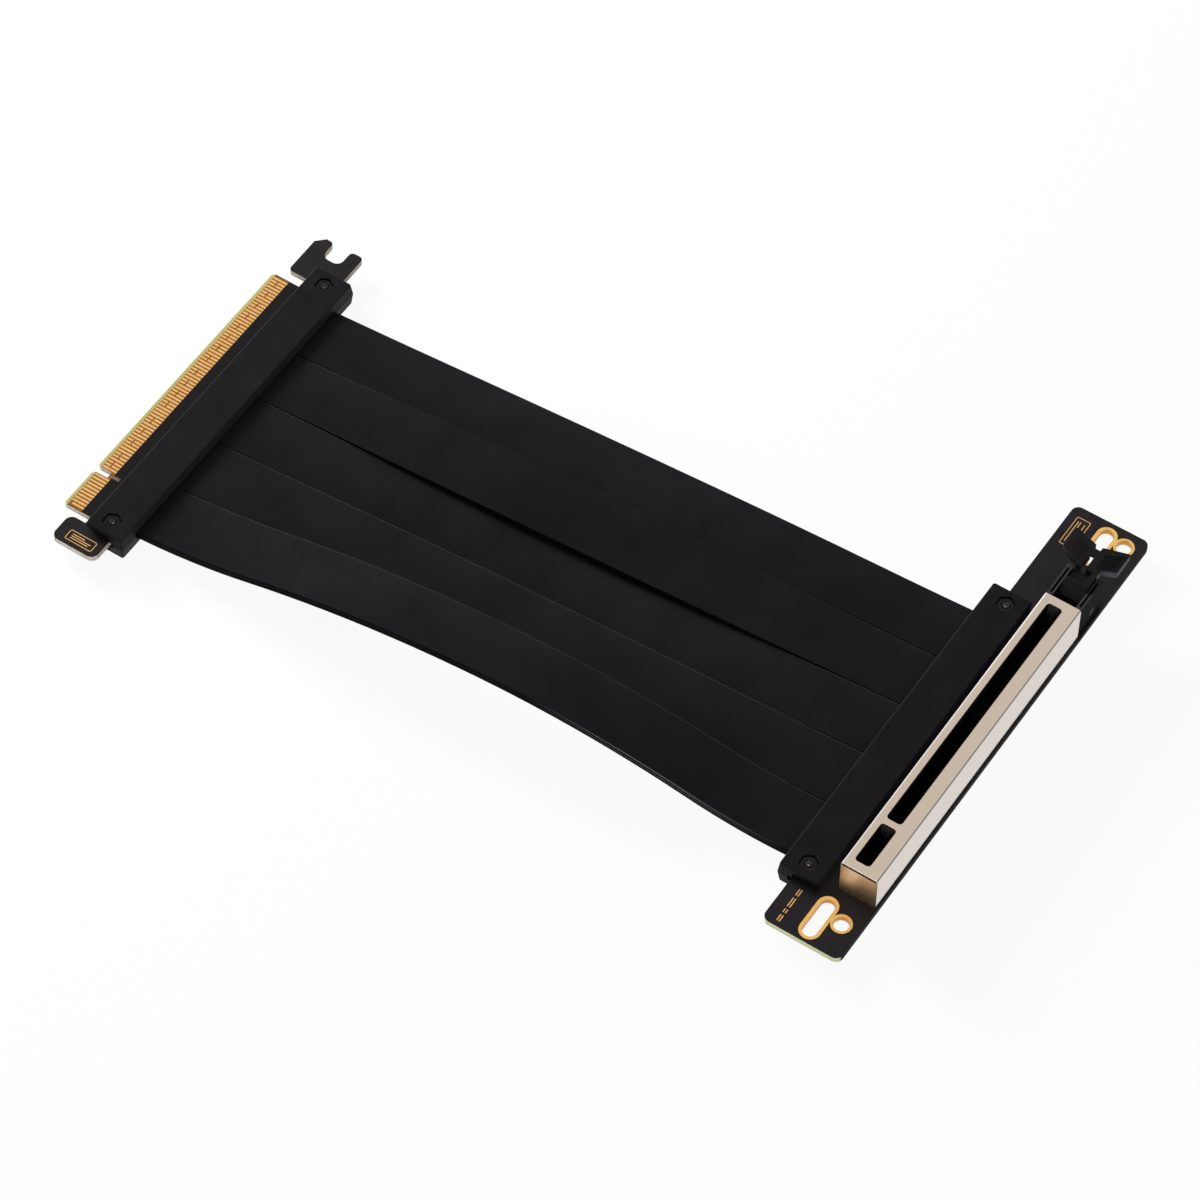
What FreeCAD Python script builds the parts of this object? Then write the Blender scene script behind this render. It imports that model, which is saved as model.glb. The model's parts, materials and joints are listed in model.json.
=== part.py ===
import FreeCAD, Part
import math
import operator
import os
import Sketcher
from FreeCAD import Placement, Rotation, Vector

# Flexible extension cable for a card slot: an edge plug and a card socket, each on its own circuit board,
# joined by five flat strips of two layers that are clamped between moulded covers.
# +X runs from the plug to the socket, +Y along the slot towards the latch, +Z up.
# The origin is the middle of the object's box, on the plane that the lower covers rest on.

SIZES = {
    # How far a cut or a join runs past the face it starts from
    "overrun": 2.0,
    # Circuit boards
    "board_thick": 1.6,
    "board_corner": 2.0,
    # Clamp covers, the same moulding at both ends
    "cover_length": 94.4,
    "cover_over": 6.8,
    "cover_beyond": 3.6,
    "cover_rise": 2.7,
    "cover_flare": 0.4,
    "cover_corner": 0.6,
    "cover_wall": 1.5,
    "cover_lip": 1.6,
    "cover_roof": 1.2,
    "edge_room": 1.2,
    "channel_side_room": 0.3,
    "solder_end": 3.0,
    "undercut_depth": 1.0,
    "undercut_height": 1.5,
    # Clamp screws and nuts
    "screw_end": 3.8,
    "screw_aside": 0.35,
    "screw_wide": 2.0,
    "screw_room": 0.1,
    "thread_room": 0.03,
    "head_wide": 3.8,
    "head_drop": 0.2,
    "nut_flats": 4.0,
    "nut_height": 1.6,
    "nut_drop": 0.35,
    "pocket_room": 0.1,
    # Flat cable strips
    "strip_span": 177.7,
    "strip_wide": 16.2,
    "strip_pitch": 16.25,
    "strip_thick": 1.05,
    "layer_gap": 0.1,
    "strip_room": 0.05,
    "strip_end_room": 0.4,
    "strip_aside": 1.25,
    "bend_share": 0.33,
    "plug_shift": 10.6,
    # Place of each strip's crest, or dip, and its height along the near and far sides
    "peak_1": 0.53,
    "arch_near_1": 11.1,
    "arch_far_1": 9.3,
    "peak_2": 0.5,
    "arch_near_2": 2.0,
    "arch_far_2": 1.1,
    "peak_3": 0.5,
    "arch_near_3": -1.2,
    "arch_far_3": -2.0,
    "peak_4": 0.5,
    "arch_near_4": -0.3,
    "arch_far_4": 2.8,
    "peak_5": 0.6,
    "arch_near_5": 1.5,
    "arch_far_5": 1.0,
    # Plug board
    "plug_depth": 16.05,
    "plug_shoulder": 8.1,
    "short_tongue": 11.65,
    "key_wide": 1.9,
    "key_depth": 4.15,
    "long_tongue": 71.65,
    "tongue_aside": 1.4,
    "tongue_corner": 0.6,
    "lead_in_long": 1.05,
    "lead_in_deep": 0.4,
    "tab_gap": 2.0,
    "tab_wide": 7.6,
    "tab_reach": 12.7,
    "hook_gap": 3.0,
    "hook_long": 13.2,
    "hook_reach": 13.4,
    "hook_corner": 2.2,
    "notch_near": 3.7,
    "notch_wide": 5.2,
    "notch_depth": 5.3,
    "notch_round": 1.9,
    "prong_round": 1.2,
    # Plug contacts
    "pin_pitch": 1.0,
    "key_margin": 0.55,
    "finger_wide": 0.66,
    "finger_long": 4.0,
    "finger_inset": 1.15,
    "finger_thick": 0.05,
    "first_finger_cut": 0.6,
    # Socket board and its mounting holes
    "socket_wide": 20.67,
    "socket_below": 60.4,
    "socket_above": 79.5,
    "slot_wide": 3.75,
    "slot_long": 11.2,
    "slot_across": 10.85,
    "slot_end_low": 7.25,
    "slot_end_high": 7.75,
    "hole_wide": 3.95,
    "hole_across": 15.95,
    "hole_end_low": 8.7,
    "hole_end_high": 4.6,
    # Metal shell of the slot
    "shell_inset": 10.4,
    "shell_low": 43.9,
    "shell_width": 9.75,
    "shell_height": 11.1,
    "shell_sheet": 0.4,
    "shell_bend": 0.7,
    "flap_gap": 0.8,
    "mouth_across": 4.15,
    "mouth_wide": 4.1,
    "mouth_start": 2.1,
    "mouth_end": 2.25,
    "mouth_round": 0.9,
    "mouth_room": 0.25,
    # Plastic housing of the slot
    "housing_room": 0.1,
    "channel_inset": 0.1,
    "channel_depth": 8.8,
    "cheek_long": 10.5,
    "cheek_thick": 1.6,
    "cheek_inset": 0.1,
    "cheek_step": 0.1,
    "cheek_base": 1.0,
    "groove_wide": 0.5,
    "groove_deep": 1.6,
    "groove_end": 1.0,
    "pivot_out": 6.4,
    "pivot_up": 3.2,
    "pivot_wide": 2.4,
    "pivot_room": 0.05,
    # Slot contacts
    "spring_wide": 0.5,
    "spring_thick": 0.25,
    "spring_high": 7.6,
    "spring_wall_room": 0.1,
    "spring_reach": 1.2,
    # Card latch
    "latch_across": 4.0,
    "latch_hub": 1.9,
    "latch_side_room": 0.15,
    "latch_top": 11.5,
    "latch_plate": 2.1,
    "arm_drop": 1.0,
    "arm_lap": 1.5,
    "nose_reach": 3.6,
    "nose_drop": 3.4,
    "nose_face": 0.8,
    "nose_slope": 0.6,
    "nose_top_room": 1.6,
    "wing_span": 14.7,
    "wing_start": 11.2,
    "wing_sweep": 2.6,
    "wing_long": 6.5,
    "wing_gap": 3.6,
    "wing_taper": 2.0,
    "gap_narrowing": 0.95,
    "bridge_start": 15.0,
    "bridge_wide": 2.2,
    "bridge_thick": 1.0,
    "window_wide": 1.1,
    "window_back": 0.8,
    "window_drop": 2.5,
    "rib_start": 1.2,
    "rib_near_room": 0.5,
    "rib_far_room": 0.8,
    "rib_high": 0.3,
    "rib_wide": 0.35,
    "rib_pitch": 0.8,
    "wing_round": 0.4,
}

STRIPS = 5
RIBS = 6
TOUCHING = 0.001

ARITHMETIC = {"+": operator.add, "-": operator.sub, "*": operator.mul, "/": operator.truediv}


class Size:
    """A value together with the sheet expression that gives it."""

    def __init__(self, value, text):
        self.value = value
        self.text = text

    def __add__(self, other):
        return joined(self, "+", other)

    def __radd__(self, other):
        return joined(other, "+", self)

    def __sub__(self, other):
        return joined(self, "-", other)

    def __rsub__(self, other):
        return joined(other, "-", self)

    def __mul__(self, other):
        return joined(self, "*", other)

    def __rmul__(self, other):
        return joined(other, "*", self)

    def __truediv__(self, other):
        return joined(self, "/", other)

    def __neg__(self):
        return joined(0, "-", self)


def as_size(number):
    return number if isinstance(number, Size) else Size(number, repr(number))


def joined(left, sign, right):
    left = as_size(left)
    right = as_size(right)
    return Size(ARITHMETIC[sign](left.value, right.value), f"({left.text} {sign} {right.text})")


def magnitude(size):
    return Size(abs(size.value), f"abs({size.text})")


def slope_angle(rise, run):
    slope = rise / run
    return Size(math.degrees(math.atan(slope.value)), f"atan({slope.text})")


def sine(angle):
    return Size(math.sin(math.radians(angle.value)), f"sin({angle.text})")


def cosine(angle):
    return Size(math.cos(math.radians(angle.value)), f"cos({angle.text})")


doc = FreeCAD.newDocument("extension_cable")
sheet = doc.addObject("Spreadsheet::Sheet", "Sizes")
for row, (alias, number) in enumerate(SIZES.items(), start=1):
    sheet.set(f"A{row}", alias)
    sheet.set(f"B{row}", str(number))
    sheet.setAlias(f"B{row}", alias)
doc.recompute()


def sized(alias):
    return Size(float(sheet.get(alias)), f"Sizes.{alias}")


sub_parts = []


def bind(item, name, size):
    item.setExpression(name, as_size(size).text)


def new_body(label):
    body = doc.addObject("PartDesign::Body", label)
    body.Label = label
    sub_parts.append(body)
    return body


def set_place(item, x, y, z, turn=Rotation()):
    item.Placement = Placement(Vector(x.value, y.value, z.value), turn)
    bind(item, "Placement.Base.x", x)
    bind(item, "Placement.Base.y", y)
    bind(item, "Placement.Base.z", z)


def sketch_on(body, plane, lift=None, along=None):
    """An empty sketch on one of the body's planes, moved along its normal by lift and sideways by along."""
    item = body.newObject("Sketcher::SketchObject", "sketch")
    support = next(feature for feature in body.Origin.OriginFeatures if feature.Role == plane)
    item.AttachmentSupport = (support, [""])
    item.MapMode = "FlatFace"
    if lift is not None:
        bind(item, "AttachmentOffset.Base.z", lift)
    if along is not None:
        bind(item, "AttachmentOffset.Base.x", along)
    return item


def fix_point(item, geometry, position, u, v):
    for kind, size in (("DistanceX", u), ("DistanceY", v)):
        size = as_size(size)
        number = item.addConstraint(Sketcher.Constraint(kind, -1, 1, geometry, position, size.value))
        bind(item, f"Constraints[{number}]", size)


def fix_radius(item, geometry, radius):
    number = item.addConstraint(Sketcher.Constraint("Radius", geometry, radius.value))
    bind(item, f"Constraints[{number}]", radius)


def arc_between(start, end, radius, left):
    """An arc from start to end whose middle lies to the left or the right of the way from start to end."""
    chord = end - start
    half = chord.Length / 2
    rise = radius - math.sqrt(max(radius * radius - half * half, 0.0))
    side = Vector(-chord.y, chord.x, 0)
    side.normalize()
    middle = (start + end) * 0.5 + side * (rise if left else -rise)
    return Part.Arc(start, middle, end)


def add_outline(item, points, arcs=None):
    """A closed outline through points; arcs gives, for a side's number, its radius and which way it bulges."""
    arcs = arcs or {}
    corners = [Vector(as_size(u).value, as_size(v).value, 0) for u, v in points]
    starts = []
    ends = []
    for number, corner in enumerate(corners):
        following = corners[(number + 1) % len(corners)]
        if number in arcs:
            radius, left = arcs[number]
            edge = arc_between(corner, following, radius.value, left)
        else:
            edge = Part.LineSegment(corner, following)
        geometry = item.addGeometry(edge, False)
        from_start, from_end = [item.getPoint(geometry, end).distanceToPoint(corner) for end in (1, 2)]
        forward = from_start < from_end
        starts.append((geometry, 1 if forward else 2))
        ends.append((geometry, 2 if forward else 1))
    for number, (u, v) in enumerate(points):
        item.addConstraint(Sketcher.Constraint("Coincident", *ends[number - 1], *starts[number]))
        fix_point(item, *starts[number], u, v)
        if number in arcs:
            fix_radius(item, starts[number][0], arcs[number][0])


def add_box(item, u_low, u_high, v_low, v_high):
    add_outline(item, [(u_low, v_low), (u_high, v_low), (u_high, v_high), (u_low, v_high)])


def add_round_box(item, u_low, u_high, v_low, v_high, radius):
    points = [
        (u_low + radius, v_low), (u_high - radius, v_low),
        (u_high, v_low + radius), (u_high, v_high - radius),
        (u_high - radius, v_high), (u_low + radius, v_high),
        (u_low, v_high - radius), (u_low, v_low + radius),
    ]
    add_outline(item, points, {side: (radius, False) for side in (1, 3, 5, 7)})


def add_circle(item, u, v, radius):
    centre = Vector(as_size(u).value, as_size(v).value, 0)
    geometry = item.addGeometry(Part.Circle(centre, Vector(0, 0, 1), radius.value), False)
    fix_point(item, geometry, 3, u, v)
    fix_radius(item, geometry, radius)


def add_round_slot(item, u, v, radius, length):
    """A slot with round ends, length over the ends, running along v."""
    straight = length / 2 - radius
    points = [
        (u + radius, v - straight), (u + radius, v + straight),
        (u - radius, v + straight), (u - radius, v - straight),
    ]
    corners = [Vector(across.value, along.value, 0) for across, along in points]
    right_low, right_high, left_high, left_low = corners
    bulge = Vector(0, radius.value, 0)
    right = item.addGeometry(Part.LineSegment(right_low, right_high), False)
    upper = item.addGeometry(Part.Arc(right_high, (right_high + left_high) * 0.5 + bulge, left_high), False)
    left = item.addGeometry(Part.LineSegment(left_high, left_low), False)
    lower = item.addGeometry(Part.Arc(left_low, (right_low + left_low) * 0.5 - bulge, right_low), False)
    for one, other in ((right, upper), (upper, left), (left, lower), (lower, right)):
        item.addConstraint(Sketcher.Constraint("Coincident", one, 2, other, 1))
    for geometry, position, corner in ((right, 1, 0), (right, 2, 1), (left, 1, 2), (left, 2, 3)):
        fix_point(item, geometry, position, *points[corner])
    for geometry, centre_v in ((upper, v + straight), (lower, v - straight)):
        number = item.addConstraint(Sketcher.Constraint("DistanceY", -1, 1, geometry, 3, centre_v.value))
        bind(item, f"Constraints[{number}]", centre_v)


def pad(body, item, length, backwards=False, symmetric=False):
    feature = body.newObject("PartDesign::Pad", "pad")
    feature.Profile = item
    feature.Reversed = backwards
    feature.SideType = "Symmetric" if symmetric else "One side"
    bind(feature, "Length", length)
    doc.recompute()
    return feature


def pocket(body, item, depth, forwards=False, symmetric=False):
    """Cuts against the sketch's normal, or along it when forwards."""
    volume = body.Shape.Volume
    feature = body.newObject("PartDesign::Pocket", "pocket")
    feature.Profile = item
    feature.Reversed = forwards
    feature.SideType = "Symmetric" if symmetric else "One side"
    bind(feature, "Length", depth)
    doc.recompute()
    if feature.Shape.Volume > volume - 1e-6:
        raise RuntimeError(f"a pocket of {body.Label} cuts nothing")
    return feature


def ruled_loft(body, first, last):
    feature = body.newObject("PartDesign::AdditiveLoft", "loft")
    feature.Profile = first
    feature.Sections = [last]
    feature.Ruled = True
    doc.recompute()
    return feature


def edges_where(feature, wanted):
    names = [f"Edge{number}" for number, edge in enumerate(feature.Shape.Edges, start=1) if wanted(edge)]
    if not names:
        raise RuntimeError(f"no edge to round on {feature.Label}")
    return names


def dress(body, kind, prop, feature, wanted, size):
    names = edges_where(feature, wanted)
    item = body.newObject(kind, "edge_dress")
    item.Base = (feature, names)
    bind(item, prop, size)
    doc.recompute()
    return item


def fillet(body, feature, wanted, radius):
    return dress(body, "PartDesign::Fillet", "Radius", feature, wanted, radius)


def chamfer(body, feature, wanted, size):
    return dress(body, "PartDesign::Chamfer", "Size", feature, wanted, size)


def upright_at(places):
    """A test for upright edges that stand at one of the given (x, y) places."""
    spots = [(as_size(x).value, as_size(y).value) for x, y in places]

    def wanted(edge):
        points = [vertex.Point for vertex in edge.Vertexes]
        return any(all(abs(p.x - x) < TOUCHING and abs(p.y - y) < TOUCHING for p in points) for x, y in spots)

    return wanted


def long_edge_at(x_places, z):
    """A test for level edges along Y at one of the given x places."""
    wanted_x = [as_size(x).value for x in x_places]

    def wanted(edge):
        points = [vertex.Point for vertex in edge.Vertexes]
        level = all(abs(p.z - z.value) < TOUCHING for p in points)
        return level and any(all(abs(p.x - x) < TOUCHING for p in points) for x in wanted_x)

    return wanted


def round_rim_at(z, radius):
    """A test for level circles of a given radius."""

    def wanted(edge):
        round_edge = isinstance(edge.Curve, Part.Circle) and abs(edge.Curve.Radius - radius.value) < TOUCHING
        return round_edge and abs(edge.Curve.Center.z - z.value) < TOUCHING

    return wanted


def add_group(label, shapes):
    """One node that holds several separate solids."""
    group = doc.addObject("Part::Feature", label)
    group.Label = label
    group.Shape = Part.makeCompound(shapes)
    sub_parts.append(group)
    return group


def box_between(x_low, x_high, y_low, y_high, z_low, z_high):
    return Part.makeBox(x_high - x_low, y_high - y_low, z_high - z_low, Vector(x_low, y_low, z_low))


# Shared positions

overrun = sized("overrun")
half_board = sized("board_thick") / 2
cover_high = half_board + sized("cover_rise")
seam_z = cover_high
board_top = seam_z + half_board
overall_x = (sized("plug_depth") + 2 * sized("cover_beyond") + sized("strip_span") + sized("shell_inset")
             + sized("latch_across") + sized("wing_span") / 2)
plug_x = sized("plug_depth") - overall_x / 2
socket_x = plug_x + 2 * sized("cover_beyond") + sized("strip_span")

tongue_low = -(sized("short_tongue") + sized("key_wide") + sized("long_tongue")) / 2 - sized("tongue_aside")
key_low = tongue_low + sized("short_tongue")
key_high = key_low + sized("key_wide")
tongue_high = key_high + sized("long_tongue")
tab_high = tongue_low - sized("tab_gap")
tab_low = tab_high - sized("tab_wide")
hook_low = tongue_high + sized("hook_gap")
hook_high = hook_low + sized("hook_long")
plug_y = (0 - sized("socket_above") - sized("plug_shift") - tab_low) / 2
socket_y = plug_y + sized("plug_shift")

screw_across = (sized("cover_beyond") - sized("cover_over")) / 2 - sized("screw_aside")
screw_row = sized("cover_length") / 2 - sized("screw_end")
screw_rows = (0 - screw_row, screw_row)
shank_half = sized("screw_wide") / 2
head_half = sized("head_wide") / 2
screw_hole = shank_half + sized("screw_room")
strip_half = sized("layer_gap") / 2 + sized("strip_thick")
strips_wide = sized("strip_pitch") * (STRIPS - 1) + sized("strip_wide")

HEXAGON_ANGLES = [math.radians(30 + 60 * side) for side in range(6)]
HEXAGON = [(math.cos(angle), math.sin(angle)) for angle in HEXAGON_ANGLES]


def hexagon(item, u, v, flats):
    corner = flats / math.sqrt(3)
    add_outline(item, [(u + corner * across, v + corner * along) for across, along in HEXAGON])


# Clamp covers. Built with the seam at z = 0 and the cable edge of the board at x = 0, cable towards +X.

def make_cover(label, for_nuts, aside, place, turn):
    body = new_body(label)
    half_long = sized("cover_length") / 2
    over = 0 - sized("cover_over")
    beyond = sized("cover_beyond")
    flare = sized("cover_flare")
    seam_plan = sketch_on(body, "XY_Plane")
    add_round_box(seam_plan, over - flare, beyond + flare, 0 - half_long - flare, half_long + flare,
                  sized("cover_corner"))
    top_plan = sketch_on(body, "XY_Plane", lift=cover_high)
    add_round_box(top_plan, over, beyond, 0 - half_long, half_long, sized("cover_corner"))
    ruled_loft(body, seam_plan, top_plan)

    seat = sketch_on(body, "XY_Plane")
    add_box(seat, over - overrun, sized("edge_room"), 0 - half_long - overrun, half_long + overrun)
    pocket(body, seat, half_board, forwards=True)

    strip_side = strips_wide / 2 + sized("channel_side_room")
    channel = sketch_on(body, "XY_Plane")
    add_box(channel, sized("edge_room") - overrun, beyond + overrun, aside - strip_side, aside + strip_side)
    pocket(body, channel, strip_half + sized("strip_room"), forwards=True)

    solder_half = screw_row - sized("solder_end")
    solder = sketch_on(body, "XY_Plane")
    add_box(solder, over + sized("cover_wall"), beyond - sized("cover_lip"), 0 - solder_half, solder_half)
    pocket(body, solder, cover_high - sized("cover_roof"), forwards=True)

    undercuts = sketch_on(body, "XY_Plane")
    add_box(undercuts, over - overrun, 0, half_long - sized("undercut_depth"), half_long + overrun)
    add_box(undercuts, over - overrun, 0, 0 - half_long - overrun, sized("undercut_depth") - half_long)
    pocket(body, undercuts, half_board + sized("undercut_height"), forwards=True)

    holes = sketch_on(body, "XY_Plane")
    for y in screw_rows:
        add_circle(holes, screw_across, y, screw_hole)
    drilled = pocket(body, holes, cover_high + overrun, forwards=True)
    if for_nuts:
        seats = sketch_on(body, "XY_Plane", lift=cover_high)
        for y in screw_rows:
            hexagon(seats, screw_across, y, sized("nut_flats") + 2 * sized("pocket_room"))
        pocket(body, seats, sized("nut_height") + sized("nut_drop"))
    else:
        sink = head_half + sized("head_drop") + sized("pocket_room") - screw_hole
        chamfer(body, drilled, round_rim_at(cover_high, screw_hole), sink)
    set_place(body, *place, turn)
    return body


HALF_TURN = Rotation(Vector(0, 0, 1), 180)
FLIPPED = Rotation(Vector(1, 0, 0), 180)
strip_aside = sized("strip_aside")
plug_place = (plug_x, plug_y, seam_z)
socket_place = (socket_x, socket_y, seam_z)
make_cover("plug_cover_upper", True, 0 - strip_aside, plug_place, Rotation())
make_cover("plug_cover_lower", False, strip_aside, plug_place, FLIPPED)
make_cover("socket_cover_upper", True, strip_aside, socket_place, HALF_TURN)
make_cover("socket_cover_lower", False, 0 - strip_aside, socket_place, HALF_TURN.multiply(FLIPPED))


# Clamp screws and nuts. The flat face of the sunk head and the nut's lower face are at z = 0.

head_face = cover_high - sized("head_drop")
nut_seat = cover_high - sized("nut_drop") - sized("nut_height")
screw_long = head_face + nut_seat + sized("nut_height")

screw = doc.addObject("PartDesign::Body", "screw_pattern")
profile = sketch_on(screw, "XZ_Plane")
add_outline(profile, [
    (0, 0), (head_half, 0), (shank_half, head_half - shank_half), (shank_half, screw_long), (0, screw_long),
])
turned = screw.newObject("PartDesign::Revolution", "turned")
turned.Profile = profile
turned.ReferenceAxis = (profile, ["V_Axis"])
turned.Angle = 360
doc.recompute()

nut = doc.addObject("PartDesign::Body", "nut_pattern")
nut_plan = sketch_on(nut, "XY_Plane")
hexagon(nut_plan, as_size(0), as_size(0), sized("nut_flats"))
pad(nut, nut_plan, sized("nut_height"))
bore = sketch_on(nut, "XY_Plane")
add_circle(bore, 0, 0, shank_half + sized("thread_room"))
pocket(nut, bore, sized("nut_height"), forwards=True)

for end, edge_x, middle_y, cable_side in (("plug", plug_x, plug_y, 1), ("socket", socket_x, socket_y, -1)):
    spots = [(edge_x.value + cable_side * screw_across.value, middle_y.value + y.value) for y in screw_rows]
    head_z = seam_z.value - head_face.value
    nut_z = seam_z.value + nut_seat.value
    add_group(f"{end}_screws", [screw.Shape.translated(Vector(x, y, head_z)) for x, y in spots])
    add_group(f"{end}_nuts", [nut.Shape.translated(Vector(x, y, nut_z)) for x, y in spots])


def cut_screw_notches(body, cable_side):
    """Notches in a board's cable edge that the clamp screws pass through."""
    notches = sketch_on(body, "XY_Plane", lift=0 - half_board)
    for y in screw_rows:
        ends = [cable_side * (screw_across - screw_hole), cable_side * overrun]
        ends.sort(key=lambda size: size.value)
        add_box(notches, *ends, y - screw_hole, y + screw_hole)
    pocket(body, notches, sized("board_thick"), forwards=True)


# Plug board, with its cable edge at x = 0 and the clamp's middle at y = 0

plug_board = new_body("plug_board")
finger_edge = 0 - sized("plug_depth")
shoulder = 0 - sized("plug_shoulder")
tab_end = 0 - sized("tab_reach")
hook_end = 0 - sized("hook_reach")
notch_near = 0 - sized("notch_near")
notch_far = notch_near - sized("notch_wide")
notch_low = hook_high - sized("notch_depth")
key_end = finger_edge + sized("key_depth")
edge_start = as_size(0)
plan = sketch_on(plug_board, "XY_Plane", lift=0 - half_board)
add_outline(plan, [
    (edge_start, tab_low), (edge_start, hook_high),
    (notch_near, hook_high), (notch_near, notch_low), (notch_far, notch_low), (notch_far, hook_high),
    (hook_end, hook_high), (hook_end, hook_low), (shoulder, hook_low),
    (shoulder, tongue_high), (finger_edge, tongue_high),
    (finger_edge, key_high), (key_end, key_high), (key_end, key_low), (finger_edge, key_low),
    (finger_edge, tongue_low), (shoulder, tongue_low),
    (shoulder, tab_high), (tab_end, tab_high), (tab_end, tab_low),
])
board = pad(plug_board, plan, sized("board_thick"))
board = fillet(plug_board, board, upright_at([(tab_end, tab_high), (tab_end, tab_low), (edge_start, tab_low)]),
               sized("board_corner"))
board = fillet(plug_board, board, upright_at([(notch_near, notch_low), (notch_far, notch_low)]),
               sized("notch_round"))
board = fillet(plug_board, board, upright_at([
    (edge_start, hook_high), (notch_near, hook_high), (notch_far, hook_high), (hook_end, hook_low),
]), sized("prong_round"))
board = chamfer(plug_board, board, upright_at([(hook_end, hook_high)]), sized("hook_corner"))
chamfer(plug_board, board, upright_at([
    (finger_edge, tongue_low), (finger_edge, key_low), (finger_edge, key_high), (finger_edge, tongue_high),
]), sized("tongue_corner"))
lead_in = sketch_on(plug_board, "XZ_Plane")
lead_in_slope = sized("lead_in_deep") / sized("lead_in_long")
for side in (1, -1):
    face = half_board * side
    add_outline(lead_in, [
        (finger_edge - overrun, face), (finger_edge + sized("lead_in_long"), face),
        (finger_edge - overrun, face - side * lead_in_slope * (sized("lead_in_long") + overrun)),
    ])
pocket(plug_board, lead_in, 2 * (hook_high - tab_low), symmetric=True)
cut_screw_notches(plug_board, as_size(1))
set_place(plug_board, *plug_place)


# Plug contacts

def pins_along(tongue):
    """How many pins a tongue of the plug has room for."""
    return int((tongue - 2 * sized("key_margin")).value / sized("pin_pitch").value) + 1


short_pins = pins_along(sized("short_tongue"))
all_pins = short_pins + pins_along(sized("long_tongue"))


def pin_offset(pin):
    """Distance of a pin from the middle line of the clamp."""
    if pin <= short_pins:
        return (key_low - sized("key_margin")).value - (short_pins - pin) * sized("pin_pitch").value
    return (key_high + sized("key_margin")).value + (pin - short_pins - 1) * sized("pin_pitch").value


def make_fingers(label, first_pin_cut, z_low):
    start = finger_edge.value + sized("finger_inset").value
    end = finger_edge.value + (sized("finger_inset") + sized("finger_long")).value
    half = sized("finger_wide").value / 2
    z_high = z_low + sized("finger_thick").value
    fingers = []
    for pin in range(1, all_pins + 1):
        y = pin_offset(pin)
        low = start + sized("first_finger_cut").value if pin == 1 and first_pin_cut else start
        fingers.append(box_between(low, end, y - half, y + half, z_low, z_high))
    group = add_group(label, fingers)
    set_place(group, *plug_place)


make_fingers("plug_contacts_upper", True, half_board.value)
make_fingers("plug_contacts_lower", False, (0 - half_board - sized("finger_thick")).value)


# Flat cable strips. Each is ruled between a near and a far side profile, which lie in upright planes that run
# from the plug clamp to the socket clamp; the arcs of a profile meet in line.

run_x = 2 * sized("cover_beyond") + sized("strip_span") - 2 * sized("strip_end_room")
drift = slope_angle(sized("plug_shift"), run_x)
lead = (sized("cover_beyond") - sized("strip_end_room")) / cosine(drift)
span = sized("strip_span") / cosine(drift)
share = sized("bend_share")


def strip_profile(body, arch, peak, low, lift, along):
    """The side view of a strip: flat in both clamps, with a rise and a fall of two arcs each between them."""
    item = sketch_on(body, "XZ_Plane", lift=lift, along=along)
    rise = span * peak
    fall = span * (1 - peak)
    stations = [
        (0 * lead, 0 * arch), (lead, 0 * arch), (lead + rise * share, arch * share), (lead + rise, arch),
        (lead + span - fall * share, arch * share), (lead + span, 0 * arch), (lead + span + lead, 0 * arch),
    ]
    radii = []
    for run in (rise, fall):
        radius = (run * run + arch * arch) / (2 * magnitude(arch))
        radii.append((radius * share, radius * (1 - share)))
    (rise_outer, rise_inner), (fall_outer, fall_inner) = radii
    up = arch.value > 0
    sides = [(rise_outer, not up), (rise_inner, up), (fall_inner, up), (fall_outer, not up)]
    arcs = {number: side for number, side in enumerate(sides, start=1)}
    arcs.update({number: (radius, not left) for number, (radius, left) in enumerate(reversed(sides), start=8)})
    lower = [(u, low + v) for u, v in stations]
    upper = [(u, low + sized("strip_thick") + v) for u, v in reversed(stations)]
    add_outline(item, lower + upper, arcs)
    return item


def make_strip(layer, number, low):
    body = new_body(f"strip_{layer}_{number}")
    wide = sized("strip_wide")
    peak = sized(f"peak_{number}")
    near = strip_profile(body, sized(f"arch_near_{number}"), peak, low, 0 * lead, 0 * lead)
    far = strip_profile(body, sized(f"arch_far_{number}"), peak, low, 0 - wide * cosine(drift),
                        wide * sine(drift))
    ruled_loft(body, near, far)
    y = plug_y - strip_aside - strips_wide / 2 + sized("strip_pitch") * (number - 1)
    set_place(body, plug_x + sized("strip_end_room"), y, seam_z, Rotation(Vector(0, 0, 1), drift.value))
    bind(body, "Placement.Rotation.Angle", drift)


for number in range(1, STRIPS + 1):
    make_strip("upper", number, sized("layer_gap") / 2)
for number in range(1, STRIPS + 1):
    make_strip("lower", number, 0 - strip_half)


# Socket board, with its cable edge at x = 0 and the clamp's middle at y = 0

socket_low = 0 - sized("socket_below")
socket_high = sized("socket_above")
mount_ends = [
    (socket_low + sized("slot_end_low"), socket_low + sized("hole_end_low")),
    (socket_high - sized("slot_end_high"), socket_high - sized("hole_end_high")),
]

socket_board = new_body("socket_board")
plan = sketch_on(socket_board, "XY_Plane", lift=0 - half_board)
add_box(plan, 0, sized("socket_wide"), socket_low, socket_high)
board = pad(socket_board, plan, sized("board_thick"))
corners = [(x, y) for x in (0, sized("socket_wide")) for y in (socket_low, socket_high)]
fillet(socket_board, board, upright_at(corners), sized("board_corner"))
holes = sketch_on(socket_board, "XY_Plane", lift=0 - half_board)
for slot_y, hole_y in mount_ends:
    add_round_slot(holes, sized("slot_across"), slot_y, sized("slot_wide") / 2, sized("slot_long"))
    add_circle(holes, sized("hole_across"), hole_y, sized("hole_wide") / 2)
pocket(socket_board, holes, sized("board_thick"), forwards=True)
cut_screw_notches(socket_board, as_size(-1))
set_place(socket_board, *socket_place)


# Slot: x = 0 on the cable-side face of the shell, y = 0 at its low end, z = 0 on the board

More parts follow.
